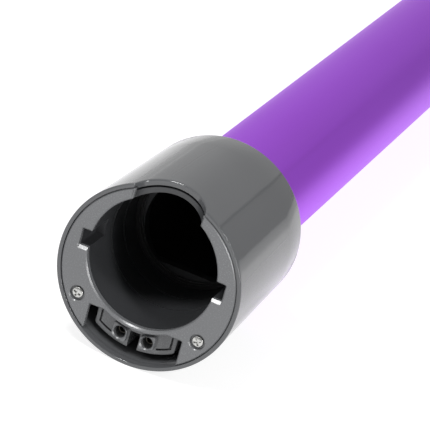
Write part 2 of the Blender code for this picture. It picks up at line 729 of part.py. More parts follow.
def catch_pivot_pin(finish):
    reach = CHANNEL_HALF + CHANNEL_WALL
    mesh = cylinder_mesh((-reach, PIVOT_Y, PIVOT_Z), (reach, PIVOT_Y, PIVOT_Z), PIVOT_PIN_R, 24)
    obj = part("catch_pivot_pin", mesh, finish)
    smooth(obj)
    return obj


def catch_spring(finish):
    """A compression spring with a little clearance to the floor and to the lever."""
    bottom = CHANNEL_FLOOR_Z + SPRING_WIRE_R + 0.1 * MM
    top = LEVER_Z + SPRING_POCKET - SPRING_WIRE_R - 0.1 * MM
    curve = bpy.data.curves.new("catch_spring", "CURVE")
    curve.dimensions = "3D"
    curve.bevel_depth = SPRING_WIRE_R
    curve.bevel_resolution = 0
    curve.use_fill_caps = True
    spline = curve.splines.new("POLY")
    steps = SPRING_TURNS * 14
    spline.points.add(steps)
    for step, point in enumerate(spline.points):
        angle = 2 * math.pi * SPRING_TURNS * step / steps
        height = bottom + (top - bottom) * step / steps
        point.co = (SPRING_R * math.cos(angle), SPRING_Y + SPRING_R * math.sin(angle), height, 1.0)
    obj = bpy.data.objects.new("catch_spring", curve)
    curve.materials.append(finish)
    PARTS.objects.link(obj)
    return obj


def release_button(finish):
    """A press button, curved like the collar, with a flange that the collar keeps in and a rib below."""
    underside = BUTTON_UNDERSIDE_Z - COLLAR_Z
    plan = rounded_plan(BUTTON_HALF_X, BUTTON_HALF_Y, 0.0, 2.7 * MM)
    obj = part("release_button", plan_mesh(plan, underside, COLLAR_R + 3 * MM), finish)
    obj.location = (0, BUTTON_Y, COLLAR_Z)
    limit_r = COLLAR_R - 0.25 * MM + BUTTON_PROUD
    limit = cutter("button_crown", along(-15 * MM, 15 * MM, 0, limit_r))
    flange_plan = rounded_plan(BUTTON_HALF_X + 1.4 * MM, BUTTON_HALF_Y + 1.4 * MM, 0.0, 3 * MM)
    flange = cutter("button_flange", plan_mesh(flange_plan, underside, BUTTON_FLANGE_TOP_Z - COLLAR_Z))
    rib_y = RIB_Y - BUTTON_Y
    rib_bottom = LEVER_Z + LEVER_THICKNESS + GAP - COLLAR_Z
    rib_low = (-RIB_HALF_X, rib_y - RIB_HALF_Y, rib_bottom)
    rib = cutter("button_rib", box_mesh(rib_low, (RIB_HALF_X, rib_y + RIB_HALF_Y, underside + 0.5 * MM)))
    for tool, operation in ((limit, "INTERSECT"), (flange, "UNION"), (rib, "UNION")):
        tool.location = obj.location
        boolean(obj, tool, operation)
    smooth(obj)
    return obj


SOCKET_CUP_MOUTH = FACE_Y + BORE_DEPTH + FLOOR + CUP_LENGTH
PLUG_CUP_MOUTH = SHOULDER_Y - PLUG_COLLAR_LENGTH + BACK_WALL + 1.5 * MM

clear_scene()
PARTS = new_collection("vacuum_wand")
CUTTERS = new_collection("cutters")
CUTTERS.hide_render = True

purple = material("purple anodised aluminium", (0.30, 0.07, 0.60), 0.32, 1.0)
gloss_grey = material("gloss grey ABS", (0.13, 0.13, 0.13), 0.18)
satin_grey = material("satin grey ABS", (0.24, 0.24, 0.24), 0.45)
dark_grey = material("dark grey ABS", (0.05, 0.05, 0.05), 0.5)
steel = material("nickel-plated steel", (0.60, 0.60, 0.58), 0.25, 1.0)
brass = material("plated brass", (0.72, 0.55, 0.28), 0.3, 1.0)
rubber = material("black rubber", (0.02, 0.02, 0.02), 0.8)
insulation_red = material("red PVC insulation", (0.45, 0.03, 0.02), 0.5)
insulation_black = material("black PVC insulation", (0.02, 0.02, 0.02), 0.5)
button_grey = material("light grey ABS", (0.35, 0.35, 0.36), 0.35)

wand_tube(purple)
wire_duct(dark_grey)
wire("wire_left", -1, insulation_red)
wire("wire_right", 1, insulation_black)

socket_collar(gloss_grey)
socket_sleeve(dark_grey)
smooth(face_plate("socket_face_plate", FACE_Y, 1, BORE_R, PLATE_GAP_HALF, satin_grey))
screw("face_screw_left", FACE_Y, 1, -SCREW_X, steel)
screw("face_screw_right", FACE_Y, 1, SCREW_X, steel)
contact_carrier(satin_grey)
socket_terminal("socket_terminal_left", -1, brass)
socket_terminal("socket_terminal_right", 1, brass)
bore_seal(rubber)
tube_ring("socket_tube_ring", SOCKET_CUP_MOUTH, 1, dark_grey)

plug_collar(gloss_grey)
plug_neck(dark_grey)
smooth(face_plate("plug_face_plate", SHOULDER_Y, -1, NECK_R + GAP, PLATE_GAP_HALF + 0.6 * MM, satin_grey))
screw("plug_screw_left", SHOULDER_Y, -1, -SCREW_X, steel)
screw("plug_screw_right", SHOULDER_Y, -1, SCREW_X, steel)
plug_contact_block(satin_grey)
contact_pin("contact_pin_left", -1, brass)
contact_pin("contact_pin_right", 1, brass)
tube_ring("plug_tube_ring", PLUG_CUP_MOUTH, -1, dark_grey)
catch_lever(dark_grey)
catch_pivot_pin(steel)
catch_spring(steel)
release_button(button_grey)
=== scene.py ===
"""Looks of a cordless stick vacuum's extension wand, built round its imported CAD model.

The wand lies along Y: socket end at low Y, plug end at high Y. Sections follow the order of assembly.
"""

from math import acos, asin, cos, hypot, pi, radians, sin, sqrt, tan

import bmesh
import bpy
import numpy as np
from mathutils import Matrix, Vector, geometry


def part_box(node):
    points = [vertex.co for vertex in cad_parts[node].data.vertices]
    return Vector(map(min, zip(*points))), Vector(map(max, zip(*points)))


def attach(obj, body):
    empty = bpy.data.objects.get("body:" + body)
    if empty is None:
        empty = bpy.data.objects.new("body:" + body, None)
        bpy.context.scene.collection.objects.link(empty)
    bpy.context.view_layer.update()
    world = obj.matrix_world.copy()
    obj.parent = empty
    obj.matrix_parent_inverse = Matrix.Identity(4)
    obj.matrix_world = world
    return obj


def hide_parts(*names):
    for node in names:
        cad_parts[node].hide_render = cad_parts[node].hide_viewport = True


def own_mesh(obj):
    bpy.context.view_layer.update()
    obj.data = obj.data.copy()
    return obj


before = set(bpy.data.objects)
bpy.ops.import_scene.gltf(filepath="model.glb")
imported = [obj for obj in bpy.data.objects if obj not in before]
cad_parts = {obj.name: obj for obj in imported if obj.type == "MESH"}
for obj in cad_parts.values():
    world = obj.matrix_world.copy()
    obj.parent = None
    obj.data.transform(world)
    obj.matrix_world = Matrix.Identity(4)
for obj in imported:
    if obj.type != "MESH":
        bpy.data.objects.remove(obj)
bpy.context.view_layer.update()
MM = 0.001

# ------------------------------
# Wand tube. A 35 mm aluminium tube with a 1.2 mm wall: extruded, cut and faced, blasted to an
# even satin and anodised violet. A pip ring locks it into a cup at each end, so nothing shows there.
tube_low, tube_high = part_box("wand_tube")
TUBE_R = (tube_high.x - tube_low.x) / 2
TUBE_Z = (tube_high.z + tube_low.z) / 2
TUBE_WALL = 1.2 * MM
TUBE_EDGE_BREAK = 0.3 * MM
VIOLET_DYE = "B858F2"
VIOLET_DYE_LIGHT = "BD60F8"
VIOLET_EDGE = "DCC0E4"
# painted shade: the very dark grey of the tube's inside, and the slightly lighter grey of its dust
TUBE_INSIDE_SHADE = "2C2C2D"
TUBE_INSIDE_SHADE_DUST = "343433"


def linear(code):
    """Linear RGBA of an sRGB hex colour."""
    channels = [int(code[i:i + 2], 16) / 255 for i in (0, 2, 4)]
    return (*[c / 12.92 if c <= 0.04045 else ((c + 0.055) / 1.055) ** 2.4 for c in channels], 1.0)


def add(tree, kind, settings=None, inputs=None):
    """Adds a node. inputs maps a socket's name or number to a value or to an output to link."""
    made = tree.nodes.new(kind)
    for name, value in (settings or {}).items():
        setattr(made, name, value)
    for key, value in (inputs or {}).items():
        if isinstance(value, bpy.types.NodeSocket):
            tree.links.new(value, made.inputs[key])
        else:
            made.inputs[key].default_value = value
    return made


def textured(name, surface, patterns, tone=None, sheen=None, relief=None):
    """A material led by patterns in object space: each has a name and a noise's inputs, and may have
    a Stretch, or a Kind of texture with its Settings. Tone is a pattern and two hex colours, sheen a
    pattern, two values of roughness and the noise that stands for each, and relief a pattern, a
    height in mm and a strength."""
    made = bpy.data.materials.new(name)
    made.use_nodes = True
    tree = made.node_tree
    tree.nodes.clear()
    place = add(tree, "ShaderNodeTexCoord").outputs["Object"]
    led, drawn = dict(surface), {}
    for label, look in patterns.items():
        look = {"Vector": place, **look}
        if "Stretch" in look:
            spread = {"Vector": place, "Scale": look.pop("Stretch")}
            look["Vector"] = add(tree, "ShaderNodeMapping", inputs=spread).outputs[0]
        kind, settings = look.pop("Kind", "ShaderNodeTexNoise"), look.pop("Settings", {})
        drawn[label] = add(tree, kind, {"name": label, **settings}, look).outputs["Fac"]
    if tone:
        label, shade, tint = tone
        mixed = {0: drawn[label], 6: linear(shade), 7: linear(tint)}
        led["Base Color"] = add(tree, "ShaderNodeMix", {"data_type": "RGBA"}, mixed).outputs[2]
    if sheen:
        label, smooth, rough, low, high = (*sheen, 0.0, 1.0)[:5]
        ends = {"From Min": low, "From Max": high, "To Min": smooth, "To Max": rough}
        led["Roughness"] = add(tree, "ShaderNodeMapRange", inputs={"Value": drawn[label], **ends}).outputs[0]
    if relief:
        label, height, strength = (*relief, 1.0)[:3]
        raised = {"Height": drawn[label], "Distance": height * MM, "Strength": strength}
        led["Normal"] = add(tree, "ShaderNodeBump", inputs=raised).outputs[0]
    shader = add(tree, "ShaderNodeBsdfPrincipled", {"name": "surface"}, led)
    add(tree, "ShaderNodeOutputMaterial", inputs={"Surface": shader.outputs[0]})
    return made


def anodised_aluminium():
    """Satin violet: the dye sits in the oxide, so the metal's own highlight takes its colour.
    Blasting leaves a fine even grain, and extrusion leaves faint lines along the tube below it."""
    made = textured(
        "anodised aluminium",
        {"Metallic": 1.0, "Specular Tint": linear(VIOLET_EDGE), "Coat Weight": 0.38,
         "Coat Roughness": 0.3, "Coat IOR": 1.7},
        {
            # blast grain of about 0.15 mm, drawn at 0.5 mm so that it shows
            "grain": {"Scale": 2000.0, "Detail": 2.0},
            # extrusion lines 1.5 mm apart round the tube and some 200 mm long
            "lines": {"Stretch": (650.0, 5.0, 650.0), "Scale": 1.0, "Detail": 3.0},
            # slow drift of the dye's strength, some 60 mm across
            "drift": {"Scale": 16.0, "Detail": 1.0},
        },
        tone=("drift", VIOLET_DYE, VIOLET_DYE_LIGHT), sheen=("lines", 0.46, 0.54),
        relief=("grain", 0.012, 0.6),
    )
    # the lines' relief is half as deep, on top of the grain's
    tree = made.node_tree
    lines, grain = (tree.nodes[label].outputs["Fac"] for label in ("lines", "grain"))
    both = add(tree, "ShaderNodeMath", {"operation": "MULTIPLY_ADD"}, {0: lines, 1: 0.5, 2: grain})
    tree.links.new(both.outputs[0], tree.nodes["Bump"].inputs["Height"])
    return made


def linked(name, data):
    """A new object in the scene."""
    obj = bpy.data.objects.new(name, data)
    bpy.context.scene.collection.objects.link(obj)
    return obj


def evaluated_mesh(obj, *helpers):
    """The object's shape with its modifiers, as a plain mesh; the object and its helpers go."""
    bpy.context.view_layer.update()
    graph = bpy.context.evaluated_depsgraph_get()
    mesh = bpy.data.meshes.new_from_object(obj.evaluated_get(graph), depsgraph=None)
    for done in (obj, *helpers):
        bpy.data.objects.remove(done)
    return mesh


def grow(tree, seed_mesh, values, finish):
    """Runs a geometry tree on a mesh with the given named inputs, and returns the plain result."""
    carrier = linked("grown", seed_mesh)
    modifier = carrier.modifiers.new("grow", "NODES")
    modifier.node_group = tree
    sockets = {item.name: item.identifier for item in tree.interface.items_tree if item.in_out == "INPUT"}
    for name, value in {**values, "Finish": finish}.items():
        modifier[sockets[name]] = value
    return evaluated_mesh(carrier)


def new_tree(name, **inputs):
    """An empty geometry tree with its group nodes; inputs are socket kinds by name."""
    tree = bpy.data.node_groups.new(name, "GeometryNodeTree")
    tree.interface.new_socket("Geometry", in_out="INPUT", socket_type="NodeSocketGeometry")
    for label, kind in inputs.items():
        tree.interface.new_socket(label.replace("_", " "), in_out="INPUT", socket_type="NodeSocket" + kind)
    tree.interface.new_socket("Finish", in_out="INPUT", socket_type="NodeSocketMaterial")
    tree.interface.new_socket("Geometry", in_out="OUTPUT", socket_type="NodeSocketGeometry")
    return tree, tree.nodes.new("NodeGroupInput").outputs


def close_tree(tree, geometry_out, finish):
    """Ends a tree in Realize Instances and Set Material."""
    solid = add(tree, "GeometryNodeRealizeInstances", inputs={"Geometry": geometry_out})
    dressed = add(tree, "GeometryNodeSetMaterial", inputs={"Geometry": solid.outputs[0], "Material": finish})
    add(tree, "NodeGroupOutput", inputs={0: dressed.outputs[0]})
    return tree


def faced_outwards(mesh):
    """Merges doubles, then turns every face of a closed mesh outwards."""
    shape = bmesh.new()
    shape.from_mesh(mesh)
    bmesh.ops.remove_doubles(shape, verts=shape.verts, dist=0.0005 * MM)
    bmesh.ops.recalc_face_normals(shape, faces=shape.faces)
    if shape.calc_volume(signed=True) < 0:
        bmesh.ops.reverse_faces(shape, faces=shape.faces)
    shape.to_mesh(mesh)
    shape.free()
    return mesh


def piece(name, mesh, finish, nodes, body="wand"):
    """A finished piece at the origin: smooth faces, sharp creases, riding on its body."""
    mesh.name = name
    faced_outwards(mesh)
    mesh.shade_smooth()
    mesh.set_sharp_from_angle(angle=radians(32))
    mesh.materials.clear()
    mesh.materials.append(finish)
    obj = linked(name, mesh)
    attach(obj, body)
    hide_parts(*nodes)
    return obj


def tube_tree():
    """A tube along Y: a filleted wall section swept round a circle."""
    tree, given = new_tree(
        "drawn tube", Mean_Radius="Float", Wall="Float", Middle="Vector", Length="Float",
        Edge_Break="Float", Sides="Int",
    )
    hoop = add(
        tree, "GeometryNodeCurvePrimitiveCircle",
        inputs={"Resolution": given["Sides"], "Radius": given["Mean Radius"]},
    )
    section = add(
        tree, "GeometryNodeCurvePrimitiveQuadrilateral", inputs={0: given["Wall"], 1: given["Length"]}
    )
    eased = add(
        tree, "GeometryNodeFilletCurve", {"mode": "POLY"},
        {"Curve": section.outputs[0], "Count": 3, "Radius": given["Edge Break"]},
    )
    swept = add(
        tree, "GeometryNodeCurveToMesh",
        inputs={"Curve": hoop.outputs[0], "Profile Curve": eased.outputs[0]},
    )
    placed = add(
        tree, "GeometryNodeTransform",
        inputs={"Geometry": swept.outputs[0], "Rotation": (radians(90), 0.0, 0.0),
                "Translation": given["Middle"]},
    )
    return close_tree(tree, placed.outputs[0], given["Finish"])


violet = anodised_aluminium()
tube_mesh = grow(
    tube_tree(), bpy.data.meshes.new("seed"),
    {
        "Mean Radius": TUBE_R - TUBE_WALL / 2, "Wall": TUBE_WALL,
        "Middle": (0.0, (tube_low.y + tube_high.y) / 2, TUBE_Z), "Length": tube_high.y - tube_low.y,
        "Edge Break": TUBE_EDGE_BREAK, "Sides": 256,
    },
    violet,
)
tube = piece("tube", tube_mesh, violet, ["wand_tube"])
# the inside was masked while the tube was dyed: grey metal with a faint tone of fine dust, and its very dark
# grey is painted shade for the deep bore
tube.data.materials.append(textured(
    "tube inside, darkened as painted shade", {"Metallic": 0.6}, {"dust": {"Scale": 300.0, "Detail": 3.0}},
    tone=("dust", TUBE_INSIDE_SHADE, TUBE_INSIDE_SHADE_DUST), sheen=("dust", 0.5, 0.7),
))
# faces on the tube's inside take the darker material, which is painted shade
for face in tube.data.polygons:
    if hypot(face.center.x, face.center.z - TUBE_Z) < TUBE_R - TUBE_WALL + 0.1 * MM:
        face.material_index = 1

# ------------------------------
# Conductors and duct. Two stranded copper wires in PVC insulation, 1.6 mm across, red and black.
# They run from the socket's terminals to the plug's pins in an extruded duct on the tube's floor.
WIRE_R = 0.8 * MM
WIRE_BEND = 19 * MM
PVC_RED = "8E1F1B"
PVC_BLACK = "17171A"
# painted shade: the duct is near black so that its floor deep in the bore reads as shade
DUCT_SHADE_GREY = "202123"
DUCT_SHADE_GREY_TINT = "26272A"
PLASTIC_IOR = 1.53


def moulded(name, shade, tint, rough, grain_mm, relief_mm):
    """Injection-moulded plastic. Tint is the pigment's slow drift along the melt's flow, rough the
    range of its sheen, and grain the steel's spark-eroded or polished texture copied by the skin."""
    grain = {"Scale": 1.0 / (grain_mm * MM), "Detail": 3.0, "Roughness": 0.6}
    return textured(
        name, {"IOR": PLASTIC_IOR}, {"flow": {"Scale": 55.0, "Detail": 2.0}, "grain": grain},
        ("flow", shade, tint), ("grain", *rough, 0.3, 0.7), ("grain", relief_mm),
    )


def dress(finish, *nodes):
    """CAD nodes whose shape is right keep it and take a finish."""
    for node in nodes:
        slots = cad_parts[node].data.materials
        slots.clear()
        slots.append(finish)


def path_tree():
    """A round wire along a path of points, with closed ends."""
    tree, given = new_tree("round wire", Radius="Float", Sides="Int")
    path = add(tree, "GeometryNodeMeshToCurve", inputs={0: given["Geometry"]})
    round_section = {"Resolution": given["Sides"], "Radius": given["Radius"]}
    ring = add(tree, "GeometryNodeCurvePrimitiveCircle", inputs=round_section)
    swept = add(
        tree, "GeometryNodeCurveToMesh",
        inputs={"Curve": path.outputs[0], "Profile Curve": ring.outputs[0], "Fill Caps": True},
    )
    return close_tree(tree, swept.outputs[0], given["Finish"])


def ease_step(t):
    return t * t * (3 - 2 * t)


def wire_route(node):
    """Straight from the terminal, down into the duct, along it, and up to the pin."""
    low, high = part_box(node)
    side = 1 if high.x > 0 else -1
    outer = max(abs(low.x), abs(high.x)) - WIRE_R
    inner = min(abs(low.x), abs(high.x)) + WIRE_R
    terminal_z, duct_z = low.z + WIRE_R, high.z - WIRE_R
    first_bend, last_bend = low.y + 14 * MM, high.y - 30 * MM
    steps = 24
    rise = [(first_bend + WIRE_BEND * i / steps, ease_step(i / steps)) for i in range(steps + 1)]
    fall = [(last_bend - WIRE_BEND * (1 - i / steps), ease_step(1 - i / steps)) for i in range(steps + 1)]
    stations = [(low.y, 0.0), *rise, *fall, (high.y, 0.0)]
    return [
        (side * (outer + (inner - outer) * t), y, terminal_z + (duct_z - terminal_z) * t) for y, t in stations
    ]


def chain(points):
    """A mesh of points joined end to end."""
    mesh = bpy.data.meshes.new("chain")
    mesh.from_pydata(points, [(i, i + 1) for i in range(len(points) - 1)], [])
    return mesh


wire_sweep = path_tree()
for name, node, slot, shade in (
    ("red_wire", "wire_left", "insulation_red", PVC_RED),
    ("black_wire", "wire_right", "insulation_black", PVC_BLACK),
):
    # a soft sheen with a slow ripple from the line's pull, about 3 mm long
    insulation = textured(
        "PVC insulation " + name.split("_")[0], {"Base Color": linear(shade), "IOR": PLASTIC_IOR},
        {"ripple": {"Scale": 330.0, "Detail": 1.0}}, sheen=("ripple", 0.38, 0.52), relief=("ripple", 0.04),
    )
    wire_mesh = grow(wire_sweep, chain(wire_route(node)), {"Radius": WIRE_R, "Sides": 20}, insulation)
    piece(name, wire_mesh, insulation, [node])
# the duct's near-black grey is painted shade
dress(moulded("extruded ABS duct, darkened as painted shade", DUCT_SHADE_GREY, DUCT_SHADE_GREY_TINT, (0.4, 0.5), 0.8, 0.02), "wire_duct")

# ------------------------------
# Socket sleeve. One dark ABS moulding: the bore that takes a tool's neck, its two key slots, the
# latch opening, two screw bosses, and a cup behind the bore's floor that the tube is pushed into.
collar_low, collar_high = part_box("socket_collar")
COLLAR_R = (collar_high.x - collar_low.x) / 2
COLLAR_Z = collar_low.z + COLLAR_R
FACE_Y = collar_low.y
BORE_Z = COLLAR_Z + 4.0 * MM
BORE_R = 18.35 * MM
BORE_DEPTH = 36 * MM
BORE_GROOVES = (17.0, 26.0)  # shallow rings where the core pin's sections meet, in mm from the face
GAP = 0.3 * MM  # clearance between neighbouring pieces
SLEEVE_R = 19.6 * MM
SLEEVE_START = 2.1 * MM
KEY_X = 20.9 * MM
KEY_HEIGHT = 4.95 * MM
KEY_DEPTH = 12 * MM
SCREW_X = 17.7 * MM
SCREW_Z = COLLAR_Z - 11.7 * MM
PILOT_R = 1.1 * MM
BOSS_R = 2.6 * MM
BOSS_LENGTH = 12 * MM
CUP_R = 19.5 * MM
CUP_LENGTH = 12 * MM
CUP_FLOOR = 3 * MM
THROAT_R = 15.4 * MM
PIP_R = 1.8 * MM
PAD_R = 23.7 * MM  # pad that fills the space under the shell round the latch opening
SCALLOP_HALF = 10.4 * MM
SCALLOP_REACH = 8.3 * MM
SCALLOP_CENTRE = -1.5 * MM
INNER_DARK = "303133"
INNER_DARK_TINT = "38393B"
ROUND = 144  # sides of a large round


def circle(radius, x, z, sides=ROUND):
    return [
        (x + radius * cos(2 * pi * i / sides), z + radius * sin(2 * pi * i / sides))
        for i in range(sides)
    ]


def arc_points(radius, centre_z, start, end, steps):
    """Points on a circle between two angles from +X, towards +Z."""
    angles = [start + (end - start) * i / steps for i in range(steps + 1)]
    return [(radius * cos(a), centre_z + radius * sin(a)) for a in angles]


def rectangle(x0, x1, z0, z1):
    return [(x0, z0), (x1, z0), (x1, z1), (x0, z1)]


def fillet(outline, radius, steps=4):
    """Rounds the corners of a closed outline; radius is one number or one for each corner."""
    count = len(outline)
    radii = radius if isinstance(radius, (list, tuple)) else [radius] * count
    points = []
    for i, here in enumerate(outline):
        corner = Vector(here)
        to_last = Vector(outline[i - 1]) - corner
        to_next = Vector(outline[(i + 1) % count]) - corner
        angle = to_last.angle(to_next)
        reach = 0.0 if radii[i] <= 0 else radii[i] / tan(angle / 2)
        reach = min(reach, 0.48 * to_last.length, 0.48 * to_next.length)
        if reach < 0.001 * MM or angle > radians(176):
            points.append(tuple(corner))
            continue
        start, end = corner + to_last.normalized() * reach, corner + to_next.normalized() * reach
        bow = reach * tan(angle / 2)
        centre = corner + (to_last.normalized() + to_next.normalized()).normalized() * hypot(bow, reach)
        first = start - centre
        sweep = first.angle_signed(end - centre)
        for step in range(steps + 1):
            turned_by = Matrix.Rotation(-sweep * step / steps, 2)
            points.append(tuple(centre + turned_by @ first))
    return points


def inset(outline, distance):
    """A closed outline moved inwards by a small distance."""
    here = np.array(outline, float)
    following = np.roll(here, -1, 0)
    area = np.sum(here[:, 0] * following[:, 1] - following[:, 0] * here[:, 1])
    ahead = following - here
    ahead /= np.maximum(np.linalg.norm(ahead, axis=1, keepdims=True), 1e-12)
    inward = np.sign(area) * np.stack([-ahead[:, 1], ahead[:, 0]], 1)
    bisector = inward + np.roll(inward, 1, 0)
    bisector /= np.maximum(np.sum(bisector * inward, axis=1, keepdims=True), 0.35)
    return [tuple(point) for point in here + distance * bisector]


def quarter(steps):
    """The angles of a quarter turn in equal steps."""
    return [pi / 2 * i / steps for i in range(steps + 1)]


def walls(rows):
    """Faces between each row of point numbers and the next; every row is a closed loop."""
    return [
        (near[i - 1], near[i], far[i], far[i - 1])
        for near, far in zip(rows, rows[1:]) for i in range(len(near))
    ]


def closed_mesh(points, faces):
    """A closed skin as a mesh: doubles merged, then every face turned outwards."""
    mesh = bpy.data.meshes.new("skin")
    mesh.from_pydata(points, [], faces)
    return faced_outwards(mesh)


def prism(outline, start, end, ease_start=0.0, ease_end=0.0, axes="xzy", holes=(), steps=3):
    """A closed solid: an outline with eased ends, moved from start to end along the third of axes.
    Each hole is blind: (outline, depth from start, ease)."""
    order = ["xyz".index(axis) for axis in axes]
    sign = 1 if end > start else -1
    points, faces = [], []

    def ring(loop, w):
        first = len(points)
        for u, v in loop:
            place = [0.0, 0.0, 0.0]
            place[order[0]], place[order[1]], place[order[2]] = u, v, w
            points.append(place)
        return list(range(first, len(points)))

    def cap(loops):
        indices = [i for loop in loops for i in loop]
        flat = [[Vector((points[i][order[0]], points[i][order[1]], 0)) for i in loop] for loop in loops]
        for a, b, c in geometry.tessellate_polygon(flat):
            faces.append((indices[a], indices[b], indices[c]))

    def eased(loop, ease, inward=1):
        """(loop, depth) at each step of an eased end, from the end inwards."""
        made = []
        for t in quarter(steps) if ease else [0.0]:
            offset = ease * (1 - sin(t)) * inward
            made.append((inset(loop, offset) if offset else list(loop), ease * (1 - cos(t))))
        return made

    rows = [ring(loop, start + sign * w) for loop, w in eased(outline, ease_start)]
    rows += [ring(loop, end - sign * w) for loop, w in eased(outline, ease_end)[::-1]]
    faces += walls(rows)
    front = [rows[0]]
    for loop, depth, ease in holes:
        sunk = [ring(wide, start + sign * w) for wide, w in eased(loop, ease, -1)]
        sunk.append(ring(loop, start + sign * depth))
        faces += walls([row[::-1] for row in sunk])
        front.append(sunk[0])
        cap([sunk[-1]])
    cap(front)
    cap([rows[-1]])
    return closed_mesh(points, faces)


def rod(start, end, z, radius, x=0.0, ease=0.0, sides=ROUND):
    return prism(circle(radius, x, z, sides), start, end, ease, ease)


def carved(base, *steps):
    """A base mesh after exact Booleans; each step is (operation, mesh, mesh, ...)."""
    carrier, tools = linked("carved", base), []
    for operation, *meshes in steps:
        for mesh in meshes:
            tools.append(linked("tool", mesh))
            modifier = carrier.modifiers.new(operation, "BOOLEAN")
            modifier.operation, modifier.object = operation, tools[-1]
    return evaluated_mesh(carrier, *tools)


def key_prisms(x0, x1, start, end, spare=0.0, ease=0.0):
    """The left and right key slots, or the keys that enter them, at the bore's centre height."""
    half = KEY_HEIGHT / 2 + spare
    return [
        prism(fillet(rectangle(*sorted((side * x0, side * x1)), BORE_Z - half, BORE_Z + half), 0.3 * MM),
              start, end, ease, ease)
        for side in (-1, 1)
    ]


def boss_prisms(face_y, direction):
    """Two screw bosses behind a plate, each with a web back to the sleeve or neck."""
    start = face_y + direction * SLEEVE_START
    end = start + direction * BOSS_LENGTH
    made = []
    for side in (-1, 1):
        made.append(rod(start, end, SCREW_Z, BOSS_R, side * SCREW_X, sides=40))
        web = sorted((side * (SCREW_X - 2.8 * MM), side * (SCREW_X + 0.3 * MM)))
        made.append(prism(rectangle(*web, SCREW_Z, SCREW_Z + 8.5 * MM), start, end))
    return made


def pilot_holes(face_y, direction):
    start, end = face_y + direction * 1.8 * MM, face_y + direction * 10.9 * MM
    return [rod(start, end, SCREW_Z, PILOT_R, side * SCREW_X, sides=24) for side in (-1, 1)]


def scallop_plan(end_y, spare=0.0, steps=96):
    """The latch opening in plan: an ellipse centred just outside the end face."""
    return [
        ((SCALLOP_HALF - spare) * cos(2 * pi * i / steps),
         end_y + SCALLOP_CENTRE + (SCALLOP_REACH - spare) * sin(2 * pi * i / steps))
        for i in range(steps)
    ]


def tube_cup(mouth_y, direction):
    """The cup round a tube's end: its body, and what is cut from it."""
    bottom = mouth_y - direction * CUP_LENGTH
    outside = bottom - direction * (CUP_FLOOR + MM)
    body = rod(bottom - direction * CUP_FLOOR, mouth_y, TUBE_Z, CUP_R, ease=0.3 * MM)
    seat = rod(bottom, mouth_y + direction * MM, TUBE_Z, TUBE_R + GAP)
    sill = COLLAR_Z - 10.1 * MM
    centre = COLLAR_Z + 1.9 * MM
    half_angle = acos((centre - sill) / THROAT_R)
    arch = [half_angle + (2 * pi - 2 * half_angle) * i / 96 for i in range(97)]
    throat = prism(
        [(-THROAT_R * sin(a), centre - THROAT_R * cos(a)) for a in arch],
        outside, bottom + direction * MM,
    )
    slot = prism(
        rectangle(-5.4 * MM, 5.4 * MM, COLLAR_Z - COLLAR_R, COLLAR_Z - 15.9 * MM),
        outside, mouth_y + direction * MM,
    )
    pip_y, reach = mouth_y - direction * CUP_LENGTH / 2, CUP_R + 3 * MM
    pips = prism(circle(PIP_R, pip_y, TUBE_Z, 32), -reach, reach, axes="yzx")
    return body, [seat, throat, slot, pips]


inner_dark = moulded(
    "dark grey ABS, fine spark texture", INNER_DARK, INNER_DARK_TINT, (0.34, 0.46), 0.35, 0.012
)
sleeve_low, sleeve_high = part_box("socket_sleeve")
bore_floor = FACE_Y + BORE_DEPTH
start = FACE_Y + SLEEVE_START
cup, cup_cuts = tube_cup(sleeve_high.y, 1)
hook_slot = prism(
    rectangle(-5.6 * MM, 5.6 * MM, COLLAR_Z + 18 * MM, COLLAR_Z + COLLAR_R),
    FACE_Y + 8.4 * MM, FACE_Y + 15.6 * MM,
)
latch_pad = prism(
    [*arc_points(PAD_R, COLLAR_Z, radians(60), radians(120), 40), (-PAD_R / 2, COLLAR_Z + 18 * MM),
     (PAD_R / 2, COLLAR_Z + 18 * MM)],
    start, FACE_Y + 12.5 * MM,
)
sleeve_mesh = carved(
    rod(start, bore_floor + CUP_FLOOR, BORE_Z, SLEEVE_R, ease=0.2 * MM),
    ("UNION", *key_prisms(17 * MM, KEY_X + 1.2 * MM, start, FACE_Y + KEY_DEPTH + 1.2 * MM, 1.2 * MM),
     *boss_prisms(FACE_Y, 1), cup, latch_pad),
    ("DIFFERENCE", rod(start - MM, FACE_Y + 17 * MM, BORE_Z, BORE_R),
     rod(FACE_Y + 16 * MM, bore_floor, BORE_Z, BORE_R - 0.15 * MM),
     *[rod(FACE_Y + y * MM, FACE_Y + (y + 0.5) * MM, BORE_Z, BORE_R + 0.15 * MM)
       for y in BORE_GROOVES],
     *key_prisms(15 * MM, KEY_X, start - MM, FACE_Y + KEY_DEPTH), *pilot_holes(FACE_Y, 1), *cup_cuts,
     prism(scallop_plan(FACE_Y), COLLAR_Z + 17 * MM, COLLAR_Z + COLLAR_R, axes="xyz"), hook_slot),
)
piece("sleeve", sleeve_mesh, inner_dark, ["socket_sleeve"])
dress(inner_dark, "socket_tube_ring", "plug_tube_ring")

# ------------------------------
# Bore seal. A lip seal of black silicone, pressed onto the bore's floor: a flat foot, and a thin
# lip that leans forwards to meet the end of the neck.
SILICONE = "141415"
SILICONE_BLOOM = "202022"
AXIS_GAP = 0.02 * MM  # a turned profile stops just short of its axis


def turned(profile, axis_z, sides=192):
    """A ring turned about an axis along Y from a closed loop of (radius, y)."""
    points, rows = [], []
    for i in range(sides):
        angle = 2 * pi * i / sides
        rows.append(list(range(len(points), len(points) + len(profile))))
        points += [(r * sin(angle), y, axis_z + r * cos(angle)) for r, y in profile]
    return closed_mesh(points, walls(rows + rows[:1]))


seal_floor = bore_floor - GAP
seal_r = BORE_R - GAP
lip_r = BORE_R - 2.3 * MM
seal_profile = fillet(
    [
        (seal_r, seal_floor - 1.2 * MM), (lip_r + 0.8 * MM, seal_floor - 1.2 * MM),
        (lip_r + 0.3 * MM, seal_floor - 2.4 * MM), (lip_r, seal_floor - 1.5 * MM),
        (lip_r + 0.3 * MM, seal_floor), (seal_r, seal_floor),
    ],
    0.12 * MM,
)
